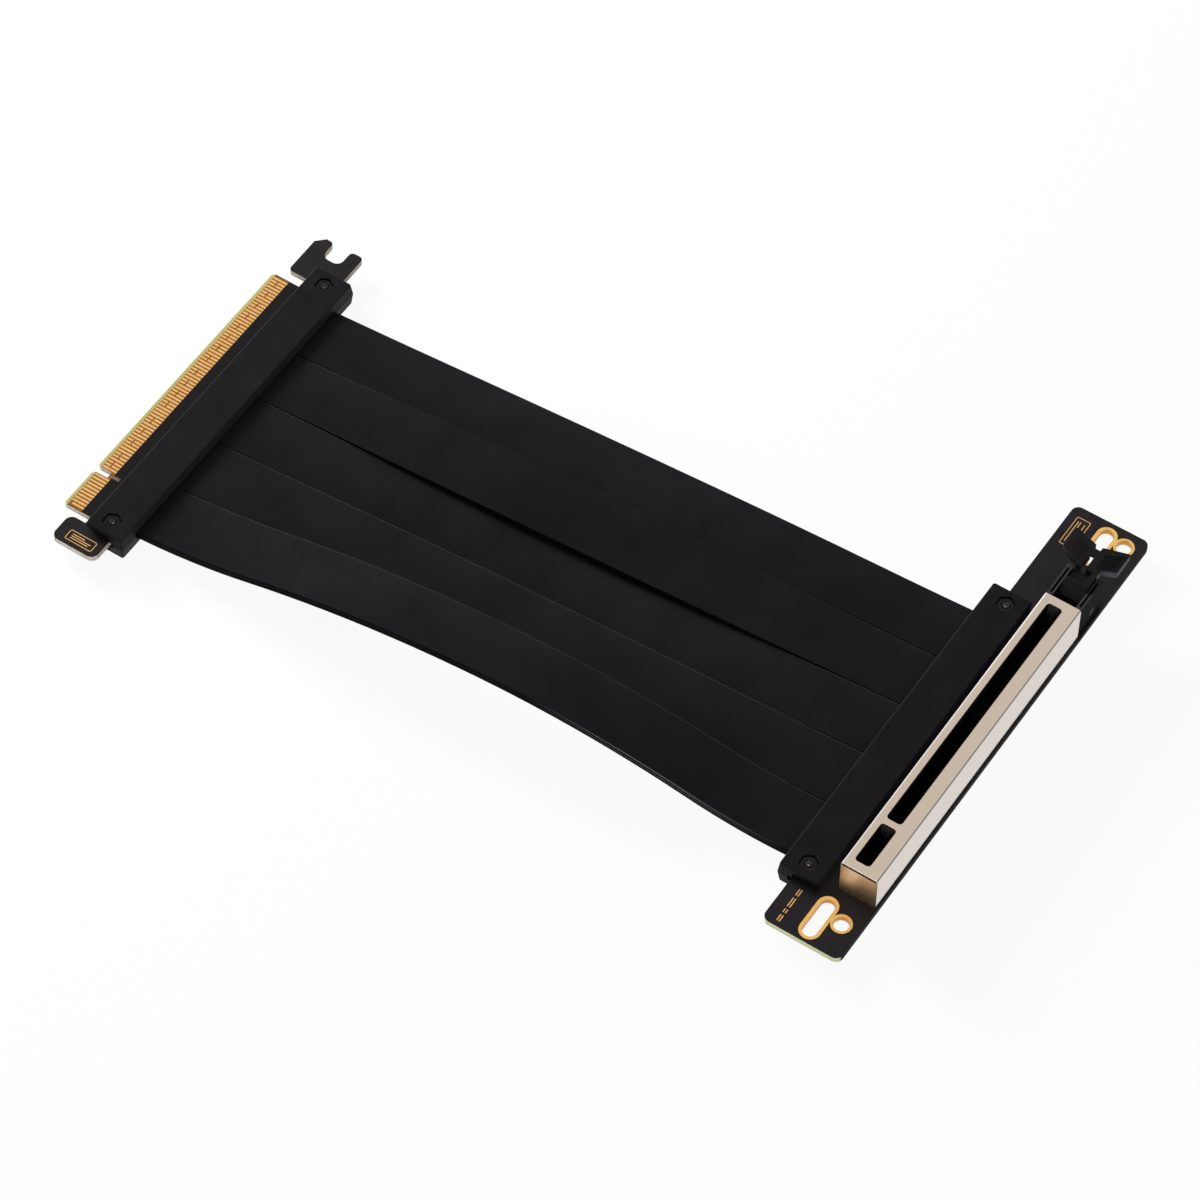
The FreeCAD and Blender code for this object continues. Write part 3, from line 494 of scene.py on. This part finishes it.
def nickel_sheet():
    """Satin nickel on rolled steel sheet, with faint rolling lines, a fine sparkle and a painted shade line
    on a bend.

    The end flap is duller and carries a warm painted reflection, the other bend and the cut end of the top
    carry a painted white highlight, and the outer long side shades as if it leaned a little upward.
    """
    dull = lin(212, 203, 195)
    bright = lin(228, 221, 214)
    painted_highlight_tone = lin(255, 252, 247)
    finish = Finish("nickel_sheet", bright, 0.26, Metallic=1.0)
    rolled = finish.noise(1.0, detail=3.0, stretch=(0.12, 40, 0.12))
    sparkle = finish.noise(0.18, detail=2.0)

    smooth_facing = finish.add("ShaderNodeNewGeometry").outputs["Normal"]
    axes = finish.axes(smooth_facing)
    on_bend = finish.between(finish.reckon("MULTIPLY", axes["X"], axes["Z"]), 0, 1, *BEND_SHADE_LINE)
    lean = finish.between(axes["X"], 0, SHEET_LEAN, *SQUARE_ON)
    raised = finish.add("ShaderNodeCombineXYZ", {"Z": lean}).outputs[0]
    leaning = finish.vector("ADD", smooth_facing, raised).outputs[0]
    finish.normal = finish.vector("NORMALIZE", leaning).outputs[0]

    flap = finish.towards((0, -1, 0), *SQUARE_ON)
    top_sheet = finish.inside(
        (None, None, shell_box[1].z - SHEET), (None, shell_box[0].y + SHEET, None),
    )
    cut_end = finish.reckon("MULTIPLY", finish.towards((0, -1, 0), *CUT_FACE), top_sheet)
    tone = finish.mix(finish.between(sparkle, 0, 1), dull, bright)
    # Painted warm reflection on the end flap, and painted white highlights on the bend towards -X and on the
    # cut end of the top
    tone = finish.mix(flap, tone, lin(250, 219, 180))
    tone = finish.mix(finish.towards((-0.7, 0, 0.7), *ON_CORNER), tone, painted_highlight_tone)
    tone = finish.mix(cut_end, tone, painted_highlight_tone)
    # Painted shade line on the bend towards +X
    finish.feed("Base Color", finish.mix(on_bend, tone, lin(120, 112, 108)))
    finish.feed("Metallic", finish.without(cut_end))
    polish = finish.between(rolled, 0.18, 0.28)
    finish.feed("Roughness", finish.reckon("MULTIPLY_ADD", flap, FLAP_DULL, polish))
    finish.raise_by(rolled, 0.0015, 0.5)
    finish.raise_by(sparkle, 0.0015, 0.5)
    return finish


def steel(name, dull, bright, roughness):
    """Small turned steel parts, a little uneven in tone and polish."""
    finish = Finish(name, dull, roughness, Metallic=1.0)
    worn = finish.noise(0.35, detail=4.0)
    finish.feed("Base Color", finish.mix(finish.between(worn, 0, 1, 0.45, 0.75), dull, bright))
    finish.feed("Roughness", finish.between(worn, roughness - 0.06, roughness + 0.1))
    finish.raise_by(worn, 0.008, 0.5)
    return finish


def legend_ink():
    """Gold ink of the marks, a little grainy."""
    finish = Finish("legend_gold", lin(224, 174, 112), 0.38, Metallic=0.6)
    grain = finish.noise(0.25, detail=2.0)
    finish.feed("Base Color", finish.mix(finish.between(grain, 0, 1), lin(214, 162, 100), lin(238, 196, 136)))
    finish.raise_by(grain, 0.006, 0.5)
    return finish


# Painted highlight on the covers' rounded upper edges towards -X, and painted light on their faces towards +X
cover_plastic = moulded_plastic(
    "cover_plastic", lin(20, 19, 21), lin(26, 25, 27), 0.16, 0.52, shine=0.07,
    sides=(((-0.7, 0, 0.7), lin(46, 44, 46)), ((1, 0, 0), lin(37, 35, 38))),
)
# Painted light on the housing's upward faces, such as the cheek tops, and on its faces towards -Y, such as
# the mouths' far end walls
housing_plastic = moulded_plastic(
    "housing_plastic", lin(14, 13, 15), lin(19, 18, 20), 0.3, 0.55, shine=0.01,
    sides=(((0, 0, 1), lin(60, 58, 61)), ((0, -1, 0), lin(58, 57, 60))),
)
# Painted light on the latch's faces that look towards -Y and a little +X, and painted shade in its pocket
latch_plastic = moulded_plastic(
    "latch_plastic", lin(18, 17, 19), lin(24, 23, 25), 0.22, 0.4, shine=0.1,
    sides=(((0.6, -0.8, 0), lin(76, 71, 80)),),
    hollows=((latch_pocket, lin(8, 8, 9)), (latch_ribs, lin(20, 19, 21))),
)
jacket = ribbon_jacket()
plug_laminate = board_laminate(
    "plug_laminate", lin(222, 217, 208), lin(168, 152, 142),
    bare_and_shade=(
        (bare_fingers, lin(112, 66, 16), lin(150, 96, 36)),
        (painted_shade_on_mask, lin(14, 14, 17), lin(19, 19, 22)),
        (bare_behind_key, lin(92, 74, 62), lin(130, 106, 88)),
    ),
    tinted=(((-1, 0, 0), 0.2, lin(150, 142, 88)),),
)
# The socket board's edge towards +X is tinted near black: painted shade
socket_laminate = board_laminate(
    "socket_laminate", lin(232, 236, 200), lin(196, 196, 150), tinted=(((1, 0, 0), 0.85, lin(24, 22, 22)),),
)
finger_gold = plated_gold("finger_gold", lin(255, 200, 132), lin(255, 222, 162), 0.3)
# The darker tone on the walls of the plated holes is painted shade
rim_gold = plated_gold("rim_gold", lin(255, 202, 118), lin(255, 218, 140), 0.32, wall=lin(200, 138, 64))
# The slot's spring contacts get a dark gold: painted shade inside the mouths
spring_gold = plated_gold("spring_gold", lin(120, 84, 40), lin(168, 122, 62), 0.36)
nickel = nickel_sheet()
black_steel = steel("black_steel", lin(40, 38, 41), lin(58, 56, 59), 0.36)
bolt_steel = steel("bolt_steel", lin(46, 44, 46), lin(84, 82, 82), 0.2)
legend_gold = legend_ink()


# Pieces

def new_piece(name, shape, finish, body="base", smooth=True, flat_area=math.inf):
    """A piece made from a bmesh, which rides on a body in one finish; faces over flat_area stay flat."""
    mesh = bpy.data.meshes.new(name)
    bmesh.ops.recalc_face_normals(shape, faces=shape.faces)
    shape.to_mesh(mesh)
    shape.free()
    mesh.materials.append(finish.material)
    piece = bpy.data.objects.new(name, mesh)
    bpy.context.scene.collection.objects.link(piece)
    if smooth:
        mesh.set_sharp_from_angle(angle=SMOOTH_ANGLE)
        mesh.polygons.foreach_set("use_smooth", [face.area < flat_area for face in mesh.polygons])
    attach(piece, body)
    return piece


def node_shape(node):
    """The mesh of a CAD node as a bmesh with joined corners and whole flat faces."""
    shape = bmesh.new()
    shape.from_mesh(frame["nodes"][node].data)
    bmesh.ops.remove_doubles(shape, verts=shape.verts, dist=SAME_POINT)
    bmesh.ops.dissolve_limit(
        shape, angle_limit=SAME_PLANE, use_dissolve_boundaries=False,
        verts=shape.verts, edges=shape.edges, delimit=set(),
    )
    return shape


def loft(shape, rims, closed=False):
    """Joins rims of equally many points in turn, and caps the ends or joins the last to the first."""
    rows = [[shape.verts.new(point) for point in rim] for rim in rims]
    pairs = list(zip(rows, rows[1:]))
    if closed:
        pairs.append((rows[-1], rows[0]))
    else:
        shape.faces.new(rows[0])
        shape.faces.new(rows[-1])
    for low, high in pairs:
        for place in range(len(low)):
            after = (place + 1) % len(low)
            shape.faces.new((low[place], low[after], high[after], high[place]))


def rectangle(x, y, inset, z):
    """Four corners of a level rectangle, drawn in by an inset."""
    return [
        (x[0] + inset, y[0] + inset, z), (x[1] - inset, y[0] + inset, z),
        (x[1] - inset, y[1] - inset, z), (x[0] + inset, y[1] - inset, z),
    ]


def plate(shape, x, y, z, rise, ease):
    """A thin plate that stands on z, or hangs from it where rise is negative, with eased outer edges."""
    shoulder = rise - math.copysign(ease, rise)
    loft(shape, [
        rectangle(x, y, 0, z), rectangle(x, y, 0, z + shoulder), rectangle(x, y, ease, z + rise),
    ])


def carved(shape, low, high):
    """A shape without the room in a box."""
    tool_shape = bmesh.new()
    plate(tool_shape, (low[0], high[0]), (low[1], high[1]), low[2], high[2] - low[2], 0)
    bmesh.ops.recalc_face_normals(tool_shape, faces=tool_shape.faces)
    items = []
    for part in (shape, tool_shape):
        mesh = bpy.data.meshes.new("carving")
        part.to_mesh(mesh)
        part.free()
        items.append(bpy.data.objects.new("carving", mesh))
        bpy.context.scene.collection.objects.link(items[-1])
    body, tool = items
    cut = body.modifiers.new("cut", "BOOLEAN")
    cut.operation = "DIFFERENCE"
    cut.solver = "EXACT"
    cut.object = tool
    result = bmesh.new()
    result.from_object(body, bpy.context.evaluated_depsgraph_get())
    for item in items:
        mesh = item.data
        bpy.data.objects.remove(item)
        bpy.data.meshes.remove(mesh)
    return result


def bevelled(node, name, finish, rounds, body="base", shape=None, flat_area=FLAT_AREA):
    """A piece that stands for a CAD node; each pair in rounds is a test for edges and their rounding."""
    shape = shape or node_shape(node)
    for wanted, (width, steps) in rounds:
        shape.normal_update()
        edges = [edge for edge in shape.edges if wanted(edge)]
        bmesh.ops.bevel(
            shape, geom=edges, offset=width, offset_type="OFFSET", segments=steps, profile=0.5,
            affect="EDGES", clamp_overlap=True,
        )
    piece = new_piece(name, shape, finish, body, flat_area=flat_area)
    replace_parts(piece, node)
    return piece


def dress(node, finish):
    """A new material on a CAD node that keeps its shape."""
    target = frame["nodes"][node]
    target.data.materials.clear()
    target.data.materials.append(finish.material)


# Tests for the edges that are rounded

def turns_by(edge, angle):
    """Whether the two faces at an edge turn by more than an angle."""
    return len(edge.link_faces) == 2 and edge.calc_face_angle(0.0) > angle


def is_sharp(edge):
    """A test for the edges at which two faces meet at a clear angle."""
    return turns_by(edge, SHARP_ANGLE)


def edge_way(edge):
    """The direction of an edge, of length 1."""
    return (edge.verts[1].co - edge.verts[0].co).normalized()


def level_rim(z, keep_off):
    """A test for the sharp edges of level faces at a height, apart from those near spots to keep off."""

    def wanted(edge):
        if not is_sharp(edge) or any(abs(vert.co.z - z) > SAME_LEVEL for vert in edge.verts):
            return False
        middle = (edge.verts[0].co + edge.verts[1].co) / 2
        return all((middle - spot).xy.length > FASTENER_ROOM for spot in keep_off)

    return wanted


def strip_edge(side):
    """A test for the long edges of a strip on its upper side, or with -1 on its under side."""

    def wanted(edge):
        if not is_sharp(edge) or abs(edge_way(edge).x) < LENGTHWISE:
            return False
        return any(side * face.normal.z > UPWARD for face in edge.link_faces)

    return wanted


def mouth_corner(edge):
    """A test for the upright steps in the round corners of the shell's mouths."""
    return abs(edge_way(edge).z) > UPRIGHT and turns_by(edge, SLIGHT_ANGLE)


def on_cheeks(edge):
    """A test for the edges of the housing's two cheeks, which stand out beyond the shell."""
    return is_sharp(edge) and all(vert.co.y > shell_box[1].y for vert in edge.verts)


def fastener_spots(node, reach):
    """Middle points of the two fasteners of a group, in plan, each reach inside the ends of the group."""
    low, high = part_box(node)
    x = (low.x + high.x) / 2
    return [Vector((x, low.y + reach, 0)), Vector((x, high.y - reach, 0))]


# Clamps, strips, latch, slot and boards

for end in ("plug", "socket"):
    spots = fastener_spots(f"{end}_screws", 2 * BOLT_HALF)
    for half, corner in (("upper", 1), ("lower", 0)):
        node = f"{end}_cover_{half}"
        rim = level_rim(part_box(node)[corner].z, spots)
        bevelled(node, f"{end}_{half}_clamp", cover_plastic, ((rim, COVER_ROUND),))

for layer, top_round in (("upper", UPPER_STRIP_ROUND), ("lower", LOWER_STRIP_ROUND)):
    for number in range(1, 6):
        node = f"strip_{layer}_{number}"
        rounds = ((strip_edge(1), top_round), (strip_edge(-1), STRIP_UNDER_ROUND))
        bevelled(node, f"ribbon_{layer}_{number}", jacket, rounds, flat_area=math.inf)

pocket_low, pocket_high = latch_pocket
bevelled(
    "card_latch", "latch_lever", latch_plastic, ((is_sharp, LATCH_ROUND),), body="latch",
    shape=carved(node_shape("card_latch"), pocket_low, (*pocket_high[:2], latch_high)),
)
bevelled("slot_shell", "bright_shell", nickel, (
    (mouth_corner, MOUTH_ROUND), (level_rim(shell_box[1].z, []), SHELL_ROUND),
))
bevelled("slot_housing", "slot_block", housing_plastic, ((on_cheeks, CHEEK_ROUND),))

dress("plug_board", plug_laminate)
dress("socket_board", socket_laminate)
dress("slot_contacts", spring_gold)


# Contact fingers, some of whose pairs are broken near their tips

def pin_place(pin):
    """How far along the edge a contact is; the contacts beyond the key are counted from the far end."""
    if pin <= SHORT_PINS:
        return first_pin + (pin - 1) * PIN_PITCH
    return last_pin - (ALL_PINS - pin) * PIN_PITCH


def finger_row(name, node, face, rise, breaks, short_first):
    """A row of fingers on one face of the tongue; breaks gives the first pin of each broken pair."""
    low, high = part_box(node)
    broken = {first + step for first in breaks for step in (0, 1)}
    shape = bmesh.new()
    for pin in range(1, ALL_PINS + 1):
        middle = pin_place(pin)
        y = (middle - FINGER_SHOWN / 2, middle + FINGER_SHOWN / 2)
        start = low.x + (FIRST_FINGER_CUT if short_first and pin == 1 else 0)
        if pin in broken:
            cut = low.x + FINGER_BREAK_AT
            plate(shape, (start, cut), y, face, rise, FINGER_EASE)
            plate(shape, (cut + FINGER_BREAK, high.x), y, face, rise, FINGER_EASE)
        else:
            plate(shape, (start, high.x), y, face, rise, FINGER_EASE)
    piece = new_piece(name, shape, finger_gold, smooth=False)
    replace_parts(piece, node)


finger_row("fingers_upper", "plug_contacts_upper", board_top, FINGER_LIFT, UPPER_BREAKS, True)
finger_row("fingers_lower", "plug_contacts_lower", board_under, -FINGER_LIFT, LOWER_BREAKS, False)


# Plated rims of the mounting holes

def slot_path(x, y, radius, straight):
    """A level outline with two round ends, straight being half the length of its sides."""
    points = []
    for end, start in ((straight, 0.0), (-straight, math.pi)):
        for step in range(ARC_STEPS + 1):
            turn = start + math.pi * step / ARC_STEPS
            points.append((x + radius * math.cos(turn), y + end + radius * math.sin(turn)))
    return points


def plated_hole(shape, x, y, half, rim, straight, lift):
    """Plate on the rim of a hole, on its wall and on the rim at the other side of the board."""
    above = board_top + PLATING + lift
    below = board_under - PLATING - lift
    ease = PLATING
    profile = (
        (rim, board_top), (rim - ease, above), (ease, above), (-PLATING, above - 2 * ease),
        (-PLATING, below + 2 * ease), (ease, below), (rim - ease, below), (rim, board_under),
        (0, board_under), (0, board_top),
    )
    rims = []
    for out, z in profile:
        rims.append([(px, py, z) for px, py in slot_path(x, y, half + out, straight)])
    loft(shape, rims, closed=True)


rims_shape = bmesh.new()
for name, rim, lift in (("mount_slots", SLOT_RIM, 0), ("mount_holes", HOLE_RIM, PLATING_STEP)):
    x, y, _ = mounts[name]["pos_m"]
    sizes = mounts[name]["dims"]
    half = sizes["hole_r_mm"] * MM
    straight = max(sizes.get("slot_length_mm", 0) * MM / 2 - half, PLATING_STEP)
    for side in (1, -1):
        hole_y = y + side * sizes["spacing_y_mm"] * MM / 2
        plated_hole(rims_shape, x, hole_y, half, rim, straight, lift)
new_piece("hole_rims", rims_shape, rim_gold)


# Nuts and bolts of the clamps

def circle(spot, radius, z):
    """A level circle round a spot."""
    turns = [2 * math.pi * step / AROUND for step in range(AROUND)]
    return [(spot.x + radius * math.cos(turn), spot.y + radius * math.sin(turn), z) for turn in turns]


def six_sided(turn, half):
    """How far out a hexagon reaches in a direction, half being half its width over the flats."""
    return half / math.cos((turn + math.pi / 6) % (math.pi / 3) - math.pi / 6)


def hexagon(spot, half, z, crown=None):
    """A hexagon whose corners, where a crown is given, fall away outside that radius."""
    points = []
    for step in range(AROUND):
        turn = 2 * math.pi * step / AROUND
        out = six_sided(turn, half)
        drop = max(0.0, out - crown) * NUT_SLOPE if crown else 0.0
        points.append((spot.x + out * math.cos(turn), spot.y + out * math.sin(turn), z - drop))
    return points


def add_nut(shape, spot, low, high):
    """A crowned hexagon nut with an eased bore."""
    flat = NUT_FLATS / 2
    crown = flat * NUT_CROWN
    bore = BOLT_HALF + BOLT_ROOM
    loft(shape, [
        hexagon(spot, flat, low),
        hexagon(spot, flat, high, crown),
        circle(spot, crown, high),
        circle(spot, bore + THREAD_EASE, high),
        circle(spot, bore, high - THREAD_EASE),
        circle(spot, bore, low),
    ], closed=True)


def add_bolt(shape, spot, head_half, head, tip):
    """A countersunk bolt, head down, with a six-sided drive and a domed tip."""
    neck = head + head_half - BOLT_HALF
    loft(shape, [
        hexagon(spot, DRIVE_HALF, head + DRIVE_DEEP),
        hexagon(spot, DRIVE_HALF, head),
        circle(spot, head_half - HEAD_EASE, head),
        circle(spot, head_half - HEAD_STEP, head + HEAD_STEP),
        circle(spot, BOLT_HALF, neck + HEAD_STEP),
        circle(spot, BOLT_HALF, tip - BOLT_DOME),
        circle(spot, BOLT_HALF - DOME_STEP, tip - DOME_STEP),
        circle(spot, BOLT_HALF - BOLT_DOME, tip),
    ])


for end in ("plug", "socket"):
    nuts = bmesh.new()
    bolts = bmesh.new()
    low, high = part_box(f"{end}_nuts")
    head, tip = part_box(f"{end}_screws")
    head_half = (tip.x - head.x) / 2
    for spot in fastener_spots(f"{end}_screws", head_half):
        add_nut(nuts, spot, low.z, high.z)
        add_bolt(bolts, spot, head_half, head.z, tip.z)
    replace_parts(new_piece(f"{end}_hex_nuts", nuts, black_steel), f"{end}_nuts")
    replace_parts(new_piece(f"{end}_bolts", bolts, bolt_steel), f"{end}_screws")


# Plain gold marks on the boards, with no words in them

def round_box(x, y, radius, out):
    """A level outline with round corners, set out or in by an offset."""
    points = []
    corners = ((x[1], y[1], 0), (x[0], y[1], 1), (x[0], y[0], 2), (x[1], y[0], 3))
    for cx, cy, quarter in corners:
        middle_x = cx - math.copysign(radius, cx - (x[0] + x[1]) / 2)
        middle_y = cy - math.copysign(radius, cy - (y[0] + y[1]) / 2)
        for step in range(CORNER_STEPS + 1):
            turn = math.pi / 2 * (quarter + step / CORNER_STEPS)
            reach = radius + out
            points.append((middle_x + reach * math.cos(turn), middle_y + reach * math.sin(turn)))
    return points


def inked(shape, x, y, radius, profile, closed):
    """Ink on a board, by the offset and the height of each rim in a profile."""
    rims = []
    for out, lift in profile:
        rims.append([(px, py, board_top + lift) for px, py in round_box(x, y, radius, out)])
    loft(shape, rims, closed)


def mark(shape, x, y):
    """A filled bar of ink."""
    inked(shape, x, y, BAR_ROUND, ((0, 0), (0, INK)), closed=False)


def frame_mark(shape, x, y):
    """The outline of a box, drawn in ink."""
    inked(shape, x, y, LABEL_ROUND, ((0, 0), (0, INK), (-STROKE, INK), (-STROKE, 0)), closed=True)


def label(name, corner, size, bars):
    """A box in outline with plain bars in it."""
    shape = bmesh.new()
    x, y = corner
    wide, long = size
    frame_mark(shape, (x, x + wide), (y, y + long))
    for left, right, low, high in bars:
        mark(shape, (x + left * wide, x + right * wide), (y + low * long, y + high * long))
    new_piece(name, shape, legend_gold)


plug_label_at = (plug_board_box[0].x + PLUG_LABEL_IN[0], plug_board_box[0].y + PLUG_LABEL_IN[1])
label("plug_mark", plug_label_at, PLUG_LABEL_SIZE, PLUG_BARS)
socket_label_at = (socket_board_box[0].x + SOCKET_LABEL_IN[0], socket_board_box[1].y - SOCKET_LABEL_IN[1])
label("socket_mark", socket_label_at, SOCKET_LABEL_SIZE, SOCKET_BARS)

row_shape = bmesh.new()
row_x = socket_board_box[0].x + ROW_IN
row_y = socket_board_box[0].y + ROW_START
for long in ROW_LONG:
    for bar_x in (row_x, row_x + ROW_WIDE - ROW_BAR):
        mark(row_shape, (bar_x, bar_x + ROW_BAR), (row_y, row_y + long))
    row_y += long + ROW_GAP
new_piece("socket_row_mark", row_shape, legend_gold)


# Floor, sky, lamps and camera

def white_backdrop(tree, lit, reach, tone=(*WHITE, 1)):
    """A shader that cameras and mirrors see as white or in a tone, and that otherwise stays as lit."""
    path = add_node(tree, "ShaderNodeLightPath").outputs
    seen = path["Is Camera Ray"]
    for other in ("Is Glossy Ray", "Is Transmission Ray"):
        seen = add_node(tree, "ShaderNodeMath", {0: seen, 1: path[other]}, operation="MAXIMUM").outputs[0]
    share = add_node(tree, "ShaderNodeMath", {0: seen, 1: reach}, operation="MULTIPLY").outputs[0]
    white = add_node(tree, "ShaderNodeEmission", {"Color": tone, "Strength": 1.0}).outputs[0]
    return add_node(tree, "ShaderNodeMixShader", {0: share, 1: lit, 2: white}).outputs[0]


floor_shape = bmesh.new()
bmesh.ops.create_grid(floor_shape, x_segments=1, y_segments=1, size=FLOOR_HALF)
floor_mesh = bpy.data.meshes.new("floor")
floor_shape.to_mesh(floor_mesh)
floor_shape.free()
floor = bpy.data.objects.new("floor", floor_mesh)
floor.location.z = cad_box[0].z
bpy.context.scene.collection.objects.link(floor)
floor_finish = Finish("pale_floor", FLOOR_TONE, FLOOR_ROUGHNESS)
floor_tree = floor_finish.tree
floor_tree.links.new(
    white_backdrop(floor_tree, floor_finish.shader.outputs[0], FLOOR_WHITE),
    floor_tree.nodes["Material Output"].inputs["Surface"],
)
floor_mesh.materials.append(floor_finish.material)

world = bpy.data.worlds.new("studio")
bpy.context.scene.world = world
world.use_nodes = True
sky = world.node_tree
fill = sky.nodes["Background"]
fill.inputs["Color"].default_value = (*WHITE, 1)
fill.inputs["Strength"].default_value = FILL
direction = add_node(sky, "ShaderNodeTexCoord").outputs["Generated"]
rising = add_node(sky, "ShaderNodeSeparateXYZ", {0: direction}).outputs["Z"]
upward = add_node(
    sky, "ShaderNodeMapRange", {"Value": rising, "From Min": SKY_RISE[0], "From Max": SKY_RISE[1]},
).outputs["Result"]
sky_tone = mixed(sky, upward, WHITE, CEILING)
sky.links.new(
    white_backdrop(sky, fill.outputs[0], SKY_WHITE, sky_tone), sky.nodes["World Output"].inputs["Surface"],
)


def soft_lamp(name, place, size, power):
    """A square soft box that faces the middle of the object and doesn't show in glossy surfaces."""
    lamp = bpy.data.lights.new(name, "AREA")
    lamp.size = size
    lamp.energy = power
    item = bpy.data.objects.new(name, lamp)
    item.location = place
    item.rotation_euler = (-Vector(place)).to_track_quat("-Z", "Y").to_euler()
    item.visible_glossy = False
    bpy.context.scene.collection.objects.link(item)
    return item


for lamp_settings in LAMPS:
    soft_lamp(*lamp_settings)

# A small lamp that gives the bolt ends a point of light and reaches nothing else

fastener_group = bpy.data.collections.new("fasteners")
for end in ("plug", "socket"):
    fastener_group.objects.link(bpy.data.objects[f"{end}_bolts"])
glint = soft_lamp(*GLINT)
glint.visible_glossy = True
glint.light_linking.receiver_collection = fastener_group

view = bpy.data.cameras.new("camera")
view.lens = CAMERA_LENS
view.sensor_width = CAMERA_SENSOR
camera = bpy.data.objects.new("camera", view)
camera.location = CAMERA_PLACE
camera.rotation_euler = Euler([math.radians(turn) for turn in CAMERA_TURN])
bpy.context.scene.collection.objects.link(camera)
bpy.context.scene.camera = camera
bpy.context.scene.view_settings.view_transform = "Standard"
